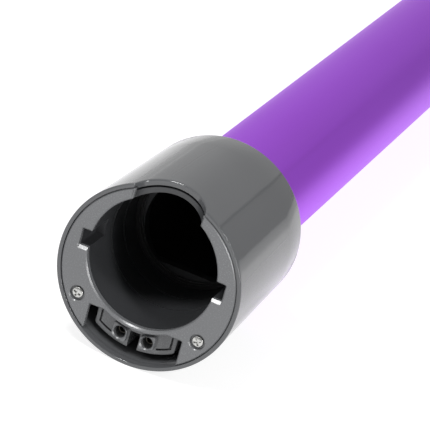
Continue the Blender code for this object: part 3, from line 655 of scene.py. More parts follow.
# a deep matt black with a slight bloom, and dust that it holds on
rubber = textured(
    "black silicone rubber", {"IOR": 1.43, "Sheen Weight": 0.15}, {"bloom": {"Scale": 400.0, "Detail": 3.0}},
    tone=("bloom", SILICONE, SILICONE_BLOOM), sheen=("bloom", 0.55, 0.75),
)
piece("seal", turned(seal_profile, BORE_Z), rubber, ["bore_seal"])

# ------------------------------
# Contact carrier. A curved satin ABS strip under the bore, with a raised rim along its ends and
# foot, a panel set in it, and two square sockets that shroud the contacts. It snaps in from behind.
CARRIER_FACE = 3.3 * MM
CARRIER_BACK = 14 * MM
CARRIER_HALF = 11.8 * MM
CARRIER_R = 22.4 * MM
CARRIER_RIM = 1.1 * MM
GROOVE_WIDE = 0.6 * MM
GROOVE_DEEP = 1.3 * MM
SOCKET_FACE = 1.75 * MM
CONTACT_X = 4.05 * MM
CONTACT_Z = COLLAR_Z - 18.45 * MM
CONTACT_HOLE_R = 1.7 * MM
SATIN_GREY = "636466"
SATIN_GREY_TINT = "68696B"


def bow(radius, centre_z, x0, x1, steps=24):
    """Points on the lower side of a circle, from x0 to x1."""
    xs = [x0 + (x1 - x0) * i / steps for i in range(steps + 1)]
    return [(x, centre_z - sqrt(radius * radius - x * x)) for x in xs]


def carrier_outline(corner=0.4 * MM, foot_corner=1.1 * MM):
    """The strip's outline, between an arc of the sleeve above and one of the collar below."""
    half, room = CARRIER_HALF, CARRIER_HALF - 2 * foot_corner
    top = bow(SLEEVE_R + GAP, BORE_Z, -half, half)
    ends = bow(CARRIER_R, COLLAR_Z, -half, half, 1)
    foot = [ends[1], *bow(CARRIER_R, COLLAR_Z, -room, room)[::-1], ends[0]]
    radii = [corner] + [0] * (len(top) - 2) + [corner, foot_corner] + [0] * (len(foot) - 2) + [foot_corner]
    return fillet(top + foot, radii)


def contact_carrier_mesh():
    """The strip, the groove that sets its panel off from its rim, the sockets and their holes."""
    front, back = FACE_Y + CARRIER_FACE, FACE_Y + CARRIER_BACK
    groove_floor = front + GROOVE_DEEP
    base = prism(carrier_outline(), front, back, 0.25 * MM)
    grooves, sockets, holes = [], [], []
    for side in (-1, 1):
        outer = CARRIER_HALF - CARRIER_RIM
        upright = sorted((side * (outer - GROOVE_WIDE), side * outer))
        foot = bow(CARRIER_R - 1.25 * MM, COLLAR_Z, *sorted((side * 6.6 * MM, side * outer)))
        corner_z = max(z for _, z in foot)
        above = [(x, z + GROOVE_WIDE) for x, z in foot[::-1]]
        grooves += [
            prism(rectangle(*upright, corner_z, COLLAR_Z - 14 * MM), front - MM, groove_floor),
            prism(foot + above, front - MM, groove_floor),
        ]
        block = fillet(
            [(side * 1.9 * MM, COLLAR_Z - 21.1 * MM), (side * 6.2 * MM, COLLAR_Z - 20.0 * MM),
             (side * 6.2 * MM, COLLAR_Z - 15.7 * MM), (side * 1.9 * MM, COLLAR_Z - 17.2 * MM)],
            0.6 * MM,
        )
        sockets.append(prism(block, FACE_Y + SOCKET_FACE, front + 2 * MM, 0.25 * MM))
        x = side * CONTACT_X
        holes += [
            rod(FACE_Y, back + MM, CONTACT_Z, CONTACT_HOLE_R, x, sides=64),
            countersink(FACE_Y + SOCKET_FACE, CONTACT_HOLE_R, 0.3 * MM, x),
        ]
    gap = prism(
        rectangle(-1.5 * MM, 1.5 * MM, COLLAR_Z - COLLAR_R, COLLAR_Z - 17.4 * MM), FACE_Y, back - 2 * MM
    )
    return carved(base, ("DIFFERENCE", *grooves), ("UNION", *sockets), ("DIFFERENCE", gap, *holes))


def countersink(face, radius, size, x, sides=64, outside=0.2 * MM):
    """A 45 degree cone that eases a contact hole's edge; it starts just outside the face."""
    points = []
    for y, r in ((face - outside, radius + size + outside), (face + size, radius)):
        points += [(px, y, pz) for px, pz in circle(r, x, CONTACT_Z, sides)]
    near, far = list(range(sides)), list(range(sides, 2 * sides))
    return closed_mesh(points, [*walls([near, far]), near, far[::-1]])


satin_grey = moulded("satin grey ABS, spark texture", SATIN_GREY, SATIN_GREY_TINT, (0.22, 0.3), 0.45, 0.006)
piece("contact_strip", contact_carrier_mesh(), satin_grey, ["contact_carrier"])

# ------------------------------
# Socket contacts. Turned brass barrels, plated, with a bored mouth, a flange and a crimp tail that
# holds the wire. Each is pressed into the carrier from behind.
BARREL_R = 1.4 * MM
BARREL_BORE_R = 1.05 * MM
# painted shade: both brass colours are darkened so that the contacts read as lying in shade
BRASS_DARKENED_FOR_SHADE = "86837B"
BRASS_DARKENED_FOR_SHADE_TARNISH = "5E5A52"


def shifted(mesh, x):
    mesh.transform(Matrix.Translation((x, 0, 0)))
    return mesh


# turned brass under a thin flash of plating: fine tool rings 0.1 mm apart and patches of tarnish, and the
# whole colour is darkened as painted shade for the deep socket holes
tool_rings = {
    "Kind": "ShaderNodeTexWave", "Settings": {"wave_type": "BANDS", "bands_direction": "Y"},
    "Scale": 1500.0, "Distortion": 0.6, "Detail": 1.0,
}
brass = textured(
    "plated brass", {"Metallic": 1.0},
    {"rings": tool_rings, "tarnish": {"Scale": 700.0, "Detail": 3.0}},
    tone=("tarnish", BRASS_DARKENED_FOR_SHADE, BRASS_DARKENED_FOR_SHADE_TARNISH), sheen=("tarnish", 0.22, 0.42), relief=("rings", 0.006),
)
barrel_front, barrel_back, crimp_end = FACE_Y + 4.9 * MM, FACE_Y + 15.5 * MM, FACE_Y + 18.7 * MM
barrel_profile = fillet(
    [
        (BARREL_BORE_R, barrel_front), (BARREL_R, barrel_front), (BARREL_R, barrel_back),
        (0.85 * MM, barrel_back + 0.4 * MM), (0.85 * MM, crimp_end), (AXIS_GAP, crimp_end),
        (AXIS_GAP, barrel_back - 2 * MM), (BARREL_BORE_R, barrel_back - 2.4 * MM),
    ],
    0.1 * MM,
)
for side, name, node in (
    (-1, "left_contact", "socket_terminal_left"), (1, "right_contact", "socket_terminal_right")
):
    barrel = shifted(turned(barrel_profile, CONTACT_Z, 48), side * CONTACT_X)
    piece(name, barrel, brass, [node])

# ------------------------------
# Socket collar. The gloss grey ABS shell round the sleeve: moulded in one piece with a polished
# skin, slightly tapered, rolled over at its rim and scooped out at the top for a tool's latch.
COLLAR_BACK_R = 24.9 * MM
RIM_INNER_R = 24.85 * MM
SHELL_INNER_R = 24.2 * MM
SHELL_TAPER = 0.35 * MM
BACK_WALL = 2.5 * MM
PLATE_SEAT = 2.1 * MM
RIM_ROLL = 0.42 * MM
INNER_ROLL = 0.2 * MM
BACK_EASE = 0.7 * MM
HOLE_EASE = 0.25 * MM
GLOSS_GREY = "515254"
GLOSS_GREY_TINT = "555658"


def mouth_line(notch_half, notch_reach, outward):
    """The rim's line, unrolled: (arc length, depth), from under the collar round to under it again."""
    base = asin(-SCALLOP_CENTRE / notch_reach)
    steps, corner_round = 56, 0.6 * MM
    notch = []
    for i in range(steps + 1):
        a = pi - base - (pi - 2 * base) * i / steps
        depth = SCALLOP_CENTRE + notch_reach * sin(a)
        notch.append((COLLAR_R * asin(notch_half * cos(a) / COLLAR_R), -depth if outward else depth))
    corner, half_turn, count = notch[-1][0], pi * COLLAR_R, 110
    # the corner's neighbours stand back, so that the corner has room for its round
    flat = [(corner + 1.2 * MM + (half_turn - corner - 1.2 * MM) * i / count, 0.0) for i in range(count)]
    under = [(-half_turn, 0.0)] + [(-arc, 0.0) for arc, _ in flat[:0:-1]] + [(-flat[0][0], 0.0)]
    kept = [p for i, p in enumerate(notch) if i in (0, steps) or 3 < i < steps - 3]
    line = under + kept + flat
    radii = [0.0] * len(under) + [corner_round] + [0.0] * (len(kept) - 2) + [corner_round] + [0.0] * len(flat)
    return fillet(line, radii, 6), corner


def shell(face_y, direction, length, notch_half, notch_reach, outward):
    """A collar as one closed skin: each row is the mouth's line, moved in and carried back."""
    line, corner = mouth_line(notch_half, notch_reach, outward)
    flat = np.array(line)
    ahead, behind = np.roll(flat, -1, 0) - flat, flat - np.roll(flat, 1, 0)
    around = 2 * pi * COLLAR_R
    ahead[-1, 0] += around
    behind[0, 0] += around

    def unit(steps):
        return steps / np.linalg.norm(steps, axis=1)[:, None]

    tangent = unit(unit(ahead) + unit(behind))
    inward = np.stack([-tangent[:, 1], tangent[:, 0]], 1)
    arc, depth = flat[:, 0], flat[:, 1]
    angle = arc / COLLAR_R
    wrapped = (angle + pi) % (2 * pi) - pi
    corner_angle = corner / COLLAR_R
    fade = np.clip(1 - (np.abs(wrapped) - corner_angle) / radians(18), 0, 1)
    in_notch = np.abs(wrapped) <= corner_angle
    if outward:
        rim_r = np.where(in_notch, SHELL_INNER_R, RIM_INNER_R)
    else:
        rim_r = np.where(depth > 1.9 * MM, SHELL_INNER_R, RIM_INNER_R)
    points = []
    even = (np.arange(len(arc)) / len(arc) * 2 - 1) * pi

    def row(radius, v, shift=0.0, centre_z=COLLAR_Z, spread=0.0):
        """One row of the skin. The notch's walls stand upright, so lines below the skin lean in.
        Spread evens out the lines away from the mouth, where they no longer follow the notch."""
        near = (arc + shift) / COLLAR_R * (1 - spread) + even * spread
        clipped = np.clip(near, -corner_angle, corner_angle)
        lean = np.arcsin(np.clip(COLLAR_R * np.sin(clipped) / np.minimum(radius, COLLAR_R), -1, 1)) - clipped
        near = near + lean * fade
        radius, v = np.broadcast_to(radius, near.shape), np.broadcast_to(v, near.shape)
        first = len(points)
        for a, r, w in zip(near, radius, v):
            points.append((r * sin(a), face_y + direction * w, centre_z + r * cos(a)))
        return list(range(first, len(points)))

    def outer_r(v):
        return COLLAR_R - (COLLAR_R - COLLAR_BACK_R) * np.clip(v / length, 0, 1)

    rows = []
    for t in quarter(6):
        radius, step = rim_r + INNER_ROLL * (1 - cos(t)), INNER_ROLL * (1 - sin(t))
        rows.append(row(radius, depth + inward[:, 1] * step, inward[:, 0] * step))
    for t in quarter(8):
        radius, step = outer_r(depth) - RIM_ROLL * (1 - sin(t)), RIM_ROLL * (1 - cos(t))
        rows.append(row(radius, depth + inward[:, 1] * step, inward[:, 0] * step))
    edge = depth + inward[:, 1] * RIM_ROLL
    side = inward[:, 0] * RIM_ROLL
    for t in (0.02, 0.06, 0.12, 0.2, 0.35, 0.55, 0.8, 1.0):
        v = edge + (length - BACK_EASE - edge) * t
        rows.append(row(outer_r(v), v, side, spread=t))
    for t in quarter(6)[1:]:
        radius, v = COLLAR_BACK_R - BACK_EASE * (1 - cos(t)), length - BACK_EASE * (1 - sin(t))
        rows.append(row(radius, v, spread=1.0))
    hole_r = TUBE_R + GAP
    for t in quarter(4):
        radius, v = hole_r + HOLE_EASE * (1 - sin(t)), length - HOLE_EASE * (1 - cos(t))
        rows.append(row(radius, v, 0.0, TUBE_Z, 1.0))
    rows.append(row(hole_r, length - BACK_WALL, 0.0, TUBE_Z, 1.0))
    rows.append(row(SHELL_INNER_R - SHELL_TAPER, length - BACK_WALL, spread=1.0))
    seat = np.maximum(PLATE_SEAT, depth + 0.6 * MM)
    rows.append(row(SHELL_INNER_R, seat + 0.02 * MM, side))
    rows.append(row(rim_r, seat, side))
    return closed_mesh(points, walls(rows + rows[:1]))


# a clear gloss skin with the faint waviness of shrinkage, about 4 mm across, and hairline scuffs from
# handling that show only in the reflections
gloss_grey = textured(
    "gloss grey ABS", {"IOR": PLASTIC_IOR},
    {
        "flow": {"Scale": 40.0, "Detail": 2.0},
        "scuff": {"Stretch": (1.0, 0.12, 1.0), "Scale": 2600.0, "Detail": 2.0},
        "wave": {"Scale": 240.0, "Detail": 1.0},
    },
    ("flow", GLOSS_GREY, GLOSS_GREY_TINT), ("scuff", 0.07, 0.13, 0.4, 0.75), ("wave", 0.01),
)
socket_shell = shell(FACE_Y, 1, collar_high.y - FACE_Y, SCALLOP_HALF, SCALLOP_REACH, False)
piece("socket_shell", socket_shell, gloss_grey, ["socket_collar"])

# ------------------------------
# Socket face plate. A flat satin ABS plate set just inside the rolled rim: it keeps the sleeve and
# the carrier in, and two screws hold it. It is open over the latch and over the contacts.
PLATE_R = 24.68 * MM
PLATE_THICK = 1.8 * MM
PLATE_EASE = 0.36 * MM
ARM_END = 9.8 * MM
WINDOW_HALF = 13.7 * MM
WINDOW_TOP = COLLAR_Z - 13.3 * MM
RECESS_R = 2.15 * MM
RECESS_DEPTH = 0.9 * MM
LEAD_IN = 0.75 * MM


def plate_outline(bore_r, arm_end):
    """The plate's outline: half of it, from under the bore round to the window's lip, then mirrored."""
    corner, soft = 0.35 * MM, 0.2 * MM
    notch = KEY_HEIGHT / 2
    notch_angle = asin(notch / bore_r)
    lip_half = sqrt(SLEEVE_R ** 2 - (BORE_Z - WINDOW_TOP) ** 2)
    arm_in, arm_out = acos(arm_end / bore_r), acos(arm_end / PLATE_R)
    window_out, lip_angle = -acos(WINDOW_HALF / PLATE_R), -acos(lip_half / SLEEVE_R)

    def run(points, first=0.0, last=0.0):
        """Each point with the radius of its corner."""
        return list(zip(points, [first] + [0.0] * (len(points) - 2) + [last]))

    half = [
        *run(arc_points(bore_r, BORE_Z, -pi / 2, -notch_angle, 40), last=soft),
        ((KEY_X, BORE_Z - notch), corner), ((KEY_X, BORE_Z + notch), corner),
        *run(arc_points(bore_r, BORE_Z, notch_angle, arm_in, 30), soft, corner),
        *run(arc_points(PLATE_R, COLLAR_Z, arm_out, window_out, 84), corner, corner),
        ((WINDOW_HALF, WINDOW_TOP), corner),
        *run(arc_points(SLEEVE_R, BORE_Z, lip_angle, -pi / 2, 24)),
    ]
    mirrored = [((-x, z), r) for (x, z), r in half[::-1]]
    whole = half[1:] + mirrored[1:-1] + [half[0]]
    return fillet([p for p, _ in whole], [r for _, r in whole], 4)


def face_plate(face_y, direction, bore_r, arm_end):
    """The plate with its screw recesses, and a broad chamfer under each key slot that leads the key in."""
    recesses = [(circle(RECESS_R, side * SCREW_X, SCREW_Z, 48), RECESS_DEPTH, 0.22 * MM) for side in (-1, 1)]
    plate = prism(
        plate_outline(bore_r, arm_end), face_y, face_y + direction * PLATE_THICK, PLATE_EASE, holes=recesses,
        steps=1,
    )
    ledge, out, back = BORE_Z - KEY_HEIGHT / 2, face_y - direction * 0.2 * MM, face_y + direction * LEAD_IN
    wedge = [(out, ledge + 0.2 * MM), (out, ledge - LEAD_IN), (face_y, ledge - LEAD_IN), (back, ledge),
             (back, ledge + 0.2 * MM)][::direction]
    leads = [
        prism(wedge, *sorted((side * 17.6 * MM, side * (KEY_X - 0.05 * MM))), axes="yzx")
        for side in (-1, 1)
    ]
    return carved(plate, ("DIFFERENCE", *leads))


piece(
    "socket_plate", face_plate(FACE_Y + 0.02 * MM, 1, BORE_R, ARM_END), satin_grey,
    ["socket_face_plate"],
)

# ------------------------------
# Plug neck. One dark ABS moulding that enters a tool's bore: a thin-walled neck with two keys, a
# trough for the catch along its top, two screw bosses, and the cup for this end of the tube.
plug_low, plug_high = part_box("plug_collar")
neck_low, neck_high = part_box("plug_neck")
TIP_Y = neck_high.y
SHOULDER_Y = TIP_Y - 34 * MM
NECK_R = BORE_R - 0.35 * MM
NECK_INNER_R = 16.2 * MM
KEY_LENGTH = 11 * MM
TROUGH_HALF = 5.6 * MM
TROUGH_WALL = 1.2 * MM
TROUGH_FLOOR_Z = COLLAR_Z + 14.6 * MM
LEVER_HALF = 5.0 * MM
LEVER_Z = COLLAR_Z + 17.8 * MM
LEVER_THICK = 2.6 * MM
PIVOT_Y = SHOULDER_Y - 46 * MM
PIVOT_Z = LEVER_Z + LEVER_THICK / 2
HOOK_Y = SHOULDER_Y + 9 * MM
HOOK_LENGTH = 6 * MM
HOOK_TOP_Z = COLLAR_Z + 23.7 * MM
BUTTON_Y = SHOULDER_Y - 14 * MM
BUTTON_HALF_X = 6 * MM
BUTTON_HALF_Y = 9.5 * MM


def across(radius, reach, ease=0.0, sides=32):
    """A rod across the wand on the catch's pivot line."""
    return prism(circle(radius, PIVOT_Y, PIVOT_Z, sides), -reach, reach, ease, ease, axes="yzx")


def plug_neck_mesh():
    cup, cup_cuts = tube_cup(neck_low.y, -1)
    body_start = neck_low.y + CUP_LENGTH + CUP_FLOOR / 2
    keys = key_prisms(
        16 * MM, KEY_X - 0.4 * MM, SHOULDER_Y - 6 * MM, SHOULDER_Y + KEY_LENGTH, -0.35 * MM, 0.2 * MM
    )
    outer = TROUGH_HALF + TROUGH_WALL
    trough_start = PIVOT_Y - 4.5 * MM
    trough_end = HOOK_Y + HOOK_LENGTH + 3 * MM
    upright = carved(
        prism(rectangle(-outer, outer, TROUGH_FLOOR_Z - TROUGH_WALL, BORE_Z + NECK_R),
              trough_start - TROUGH_WALL, trough_end + TROUGH_WALL),
        ("INTERSECT", rod(body_start - 2 * MM, TIP_Y, BORE_Z, NECK_R - 0.05 * MM)),
    )
    above = COLLAR_Z + COLLAR_R
    inside = fillet(rectangle(-TROUGH_HALF, TROUGH_HALF, trough_start, trough_end), 0.6 * MM)
    flat = rectangle(-12 * MM, 12 * MM, COLLAR_Z + 19.3 * MM, above)
    return carved(
        prism(circle(NECK_R, 0, BORE_Z), body_start, TIP_Y, 0, 0.6 * MM),
        ("UNION", *keys, *boss_prisms(SHOULDER_Y, -1), cup),
        ("DIFFERENCE", rod(neck_low.y + CUP_LENGTH + CUP_FLOOR, TIP_Y + MM, BORE_Z, NECK_INNER_R)),
        ("UNION", upright),
        ("DIFFERENCE", prism(inside, TROUGH_FLOOR_Z, above, axes="xyz"),
         prism(flat, BUTTON_Y - BUTTON_HALF_Y - 3 * MM, SHOULDER_Y - 0.1 * MM),
         *pilot_holes(SHOULDER_Y, -1), *cup_cuts, across(1.12 * MM, outer + 2 * MM)),
    )


piece("neck", plug_neck_mesh(), inner_dark, ["plug_neck"])

# ------------------------------
# Catch. A dark ABS lever turns on a ground steel pin at its back end. A coil of 0.6 mm spring wire
# under the button lifts it, and its hook stands up through the neck into the tool's latch slot.
PIVOT_BOSS_R = 2.5 * MM
PIVOT_PIN_R = 1.0 * MM
SPRING_R = 3.0 * MM
SPRING_WIRE_R = 0.3 * MM
SPRING_TURNS = 3
SPRING_POCKET = 1.4 * MM
SPRING_ARM, RIB_ARM = 32, 36  # mm from the catch's pivot to the spring, and to the button's rib
NICKEL = "C9C9C6"
NICKEL_DULL = "B9B9B7"
GROUND_DULL = "B2B2B0"
SPRING_STEEL = "8F9195"
SPRING_DULL = "77797C"


def bright_metal(name, shade, dull, rough):
    """Plated or ground steel: a bright skin with a fine even scatter, clouded where it was handled."""
    return textured(
        name, {"Metallic": 1.0}, {"cloud": {"Scale": 900.0, "Detail": 3.0}},
        ("cloud", shade, dull), ("cloud", *rough), ("cloud", 0.01),
    )


def lever_mesh():
    """Side outline with every corner eased, then the boss, the pin's hole and the spring's pocket."""
    top = LEVER_Z + LEVER_THICK
    end = HOOK_Y + HOOK_LENGTH
    outline = fillet(
        [(PIVOT_Y, LEVER_Z), (end, LEVER_Z), (end, top - 0.8 * MM), (HOOK_Y + 2.2 * MM, HOOK_TOP_Z),
         (HOOK_Y, HOOK_TOP_Z), (HOOK_Y, top), (PIVOT_Y, top)],
        [0, 0.3 * MM, 0.3 * MM, 0.3 * MM, 0.15 * MM, 0.4 * MM, 0],
    )
    half = LEVER_HALF + 0.2 * MM
    pocket = circle(SPRING_R + 0.7 * MM, 0, BUTTON_Y, 48)
    return carved(
        prism(outline, -LEVER_HALF, LEVER_HALF, 0.25 * MM, 0.25 * MM, axes="yzx"),
        ("UNION", across(PIVOT_BOSS_R, half, 0.2 * MM, 64)),
        ("DIFFERENCE", across(PIVOT_PIN_R + 0.08 * MM, half + MM),
         prism(pocket, LEVER_Z - MM, LEVER_Z + SPRING_POCKET, axes="xyz")),
    )


def helix(centre, radius, height, turns, steps=40):
    """Points of a coil that rises from its centre."""
    count = steps * turns
    return [
        (centre[0] + radius * cos(2 * pi * i / steps), centre[1] - radius * sin(2 * pi * i / steps),
         centre[2] + height * i / count)
        for i in range(count + 1)
    ]


piece("lever", lever_mesh(), inner_dark, ["catch_lever"], "catch")
ground_steel = bright_metal("ground steel", NICKEL, GROUND_DULL, (0.2, 0.3))
pin_reach = TROUGH_HALF + TROUGH_WALL
piece("pivot_pin", across(PIVOT_PIN_R, pin_reach, 0.2 * MM), ground_steel, ["catch_pivot_pin"])
spring_wire = bright_metal("spring steel wire", SPRING_STEEL, SPRING_DULL, (0.25, 0.38))
spring_low = TROUGH_FLOOR_Z + SPRING_WIRE_R + 0.1 * MM
spring_top = LEVER_Z + SPRING_POCKET - SPRING_WIRE_R - 0.1 * MM
coil_path = chain(helix((0.0, BUTTON_Y, spring_low), SPRING_R, spring_top - spring_low, SPRING_TURNS))
coil = grow(wire_sweep, coil_path, {"Radius": SPRING_WIRE_R, "Sides": 16}, spring_wire)
spring = piece("spring", coil, spring_wire, ["catch_spring"])
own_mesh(spring)

# ------------------------------
# Release button. Light grey ABS, crowned to the collar's curve, with a flange that the shell keeps
# in, five finger grooves across its top and a rib below that presses the catch.
BUTTON_GREY = "9B9C9F"
BUTTON_GREY_TINT = "A1A2A5"
BUTTON_PROUD = 0.6 * MM
FLANGE = 1.4 * MM  # how far the flange stands out under the shell
GROOVE_WIDTH = 0.8 * MM
GROOVE_DEPTH = 0.35 * MM
GROOVE_PITCH = 2.6 * MM
BUTTON_UNDERSIDE_Z = COLLAR_Z + 21.4 * MM
BUTTON_FLANGE_Z = COLLAR_Z + 22.5 * MM


def button_mesh():
    crown_r = COLLAR_R - 0.25 * MM + BUTTON_PROUD
    y0, y1 = BUTTON_Y - BUTTON_HALF_Y, BUTTON_Y + BUTTON_HALF_Y
    plan = fillet(rectangle(-BUTTON_HALF_X, BUTTON_HALF_X, y0, y1), 2.7 * MM, 10)
    cap = carved(
        prism(plan, BUTTON_UNDERSIDE_Z, COLLAR_Z + COLLAR_R + 3 * MM, axes="xyz"),
        ("INTERSECT", rod(y0 - MM, y1 + MM, COLLAR_Z, crown_r, sides=360)),
    )
    flange_half = BUTTON_HALF_X + FLANGE
    flange = fillet(rectangle(-flange_half, flange_half, y0 - FLANGE, y1 + FLANGE), 3 * MM, 10)
    rib_y = PIVOT_Y + RIB_ARM * MM
    rib = rectangle(-3 * MM, 3 * MM, rib_y - 1.2 * MM, rib_y + 1.2 * MM)
    half = GROOVE_WIDTH / 2
    groove = [
        (side * x, COLLAR_Z + sqrt((crown_r + rise) ** 2 - x * x))
        for side, rise in ((-1, 0.5 * MM), (1, -GROOVE_DEPTH)) for x in np.linspace(-3.6 * MM, 3.6 * MM, 13)
    ]
    stations = [BUTTON_Y + i * GROOVE_PITCH for i in range(-2, 3)]
    grooves = [prism(groove, y - half, y + half) for y in stations]
    return carved(
        cap,
        ("UNION", prism(flange, BUTTON_UNDERSIDE_Z, BUTTON_FLANGE_Z, 0.2 * MM, 0.2 * MM, axes="xyz"),
         prism(rib, LEVER_Z + LEVER_THICK + GAP, BUTTON_UNDERSIDE_Z + 0.5 * MM, axes="xyz")),
        ("DIFFERENCE", *grooves),
    )


button_grey = moulded(
    "light grey ABS, fine spark texture", BUTTON_GREY, BUTTON_GREY_TINT, (0.3, 0.4), 0.4, 0.01
)
piece("button", button_mesh(), button_grey, ["release_button"], "button")

# ------------------------------
# Plug collar. The same gloss shell as at the socket end, longer, with a window for the button and
# a tongue that fills a tool's latch opening when the two are pushed together.
BUTTON_ROOM = 0.35 * MM


def plug_shell_mesh():
    whole = shell(
        SHOULDER_Y, -1, SHOULDER_Y - plug_low.y, SCALLOP_HALF - 0.4 * MM, SCALLOP_REACH - 0.4 * MM, True
    )
    half_x, half_y = BUTTON_HALF_X + BUTTON_ROOM, BUTTON_HALF_Y + BUTTON_ROOM
    window = fillet(rectangle(-half_x, half_x, BUTTON_Y - half_y, BUTTON_Y + half_y), 3 * MM, 12)
    return carved(
        whole, ("DIFFERENCE", prism(window, COLLAR_Z + 17 * MM, COLLAR_Z + COLLAR_R + MM, axes="xyz"))
    )


piece("plug_shell", plug_shell_mesh(), gloss_grey, ["plug_collar"])

# ------------------------------
# Pin block and pins. A satin ABS block under the neck holds two turned brass pins with round noses,
# and its curved hood stands out past them so that they can't be bent.
PIN_R = 0.95 * MM
PIN_REACH = 7.5 * MM
HOOD_REACH = 8 * MM
HOOD_WALL = 1.2 * MM


def pin_block_mesh():
    back, half = SHOULDER_Y - 14 * MM, WINDOW_HALF - 0.6 * MM
    under = [(x, min(z, WINDOW_TOP - 0.3 * MM)) for x, z in bow(SLEEVE_R + GAP, BORE_Z, -half, half)]
    foot_r = SHELL_INNER_R - 0.35 * MM
    foot = bow(foot_r, COLLAR_Z, -half, half)[::-1]
    hood_half = half - 0.05 * MM
    hood_top = bow(foot_r - HOOD_WALL, COLLAR_Z, -hood_half, hood_half)
    hood_foot = bow(foot_r - 0.03 * MM, COLLAR_Z, -hood_half, hood_half)[::-1]
    holes = [
        rod(back - MM, SHOULDER_Y + MM, CONTACT_Z, PIN_R + 0.3 * MM, side * CONTACT_X, sides=40)
        for side in (-1, 1)
    ]
    corners = [0.3 * MM] + [0] * (len(hood_top) - 2) + [0.3 * MM]
    hood = fillet(hood_top + hood_foot, corners * 2)
    return carved(
        prism(under + foot, back, SHOULDER_Y - GAP, 0, 0.25 * MM),
        ("UNION", prism(hood, SHOULDER_Y - 2 * MM, SHOULDER_Y + HOOD_REACH, 0, 0.3 * MM)),
        ("DIFFERENCE", *holes),
    )


piece("pin_block", pin_block_mesh(), satin_grey, ["plug_contact_block"])
pin_start, pin_nose = SHOULDER_Y - 14.7 * MM, SHOULDER_Y + PIN_REACH
nose = [
    (max(PIN_R * cos(a), AXIS_GAP), pin_nose - PIN_R * (1 - sin(a)))
    for a in np.linspace(0, pi / 2, 9)
]
pin_profile = [(AXIS_GAP, pin_start), (PIN_R - 0.15 * MM, pin_start), (PIN_R, pin_start + 0.15 * MM)] + nose
for side, name, node in ((-1, "left_pin", "contact_pin_left"), (1, "right_pin", "contact_pin_right")):
    piece(name, shifted(turned(pin_profile, CONTACT_Z, 48), side * CONTACT_X), brass, [node])

# ------------------------------
# Plug face plate and screws. The plate is the socket's, opened a little more at the top for the
# tongue. Four pan-head M2 screws with a cross recess, nickel-plated, hold the two plates.
SCREW_HEAD_R = 1.6 * MM
SCREW_HEAD_HEIGHT = 0.75 * MM
SCREW_SHANK_R = 0.8 * MM
SCREW_LENGTH = 9 * MM
SCREW_PITCH = 0.4 * MM
CROSS_HALF = 1.08 * MM
CROSS_WIDTH = 0.56 * MM
SCREW_TURNS = (0.35, 1.15, 0.8, 0.1)  # how far each cross is turned when the screw is tight, radians

piece(
    "plug_plate", face_plate(SHOULDER_Y - 0.02 * MM, -1, NECK_R + GAP, ARM_END + 0.6 * MM), satin_grey,
    ["plug_face_plate"],
)


def screw_mesh():
    """One screw along Y from its seat at the origin: domed head, threaded shank, cross recess."""
    dome = [
        (SCREW_HEAD_R * cos(a), -0.25 * MM - (SCREW_HEAD_HEIGHT - 0.25 * MM) * sin(a))
        for a in np.linspace(0, 1.45, 9)
    ]
    profile = [(AXIS_GAP, dome[-1][1] - 0.005 * MM), *dome[::-1], (SCREW_HEAD_R, -0.05 * MM),
               (SCREW_HEAD_R - 0.05 * MM, 0.0), (SCREW_SHANK_R, 0.0)]
    crests = int(SCREW_LENGTH / SCREW_PITCH)
    for i in range(1, crests):
        y = i * SCREW_PITCH
        profile += [(SCREW_SHANK_R, y - SCREW_PITCH / 2), (SCREW_SHANK_R - 0.16 * MM, y)]
    profile += [(SCREW_SHANK_R - 0.3 * MM, SCREW_LENGTH), (AXIS_GAP, SCREW_LENGTH)]
    top, depth = -SCREW_HEAD_HEIGHT - 0.3 * MM, -0.12 * MM
    bars = []
    for half_x, half_z in ((CROSS_HALF, CROSS_WIDTH / 2), (CROSS_WIDTH / 2, CROSS_HALF)):
        bars.append(prism(rectangle(-half_x, half_x, -half_z, half_z), top, depth))
    return carved(turned(profile, 0.0, 48), ("DIFFERENCE", *bars))


def screws_tree():
    """One screw copied to each point, facing the way its plate does and turned about its own axis."""
    tree, given = new_tree("screws", Screw="Object")
    source = add(
        tree, "GeometryNodeObjectInfo", {"transform_space": "ORIGINAL"}, {"Object": given["Screw"]}
    )
    spin = add(
        tree, "GeometryNodeInputNamedAttribute", {"data_type": "FLOAT_VECTOR"}, {"Name": "spin"}
    )
    copies = add(
        tree, "GeometryNodeInstanceOnPoints",
        inputs={"Points": given["Geometry"], "Instance": source.outputs["Geometry"],
                "Rotation": spin.outputs["Attribute"]},
    )
    return close_tree(tree, copies.outputs[0], given["Finish"])


nickel = bright_metal("nickel-plated steel", NICKEL, NICKEL_DULL, (0.22, 0.32))
seats, spins = [], []
for face_y, direction in ((FACE_Y, 1), (SHOULDER_Y, -1)):
    for side in (-1, 1):
        seats.append((side * SCREW_X, face_y + direction * (RECESS_DEPTH - 0.02 * MM), SCREW_Z))
        spins.append((0.0, SCREW_TURNS[len(spins)], 0.0 if direction > 0 else pi))
seat_mesh = bpy.data.meshes.new("seats")
seat_mesh.from_pydata(seats, [], [])
attribute = seat_mesh.attributes.new("spin", "FLOAT_VECTOR", "POINT")
for item, value in zip(attribute.data, spins):
    item.vector = value
screw_source = linked("screw_source", screw_mesh())
screw_set = grow(screws_tree(), seat_mesh, {"Screw": screw_source}, nickel)
bpy.data.objects.remove(screw_source)
piece(
    "screws", screw_set, nickel,
    ["face_screw_left", "face_screw_right", "plug_screw_left", "plug_screw_right"],
)

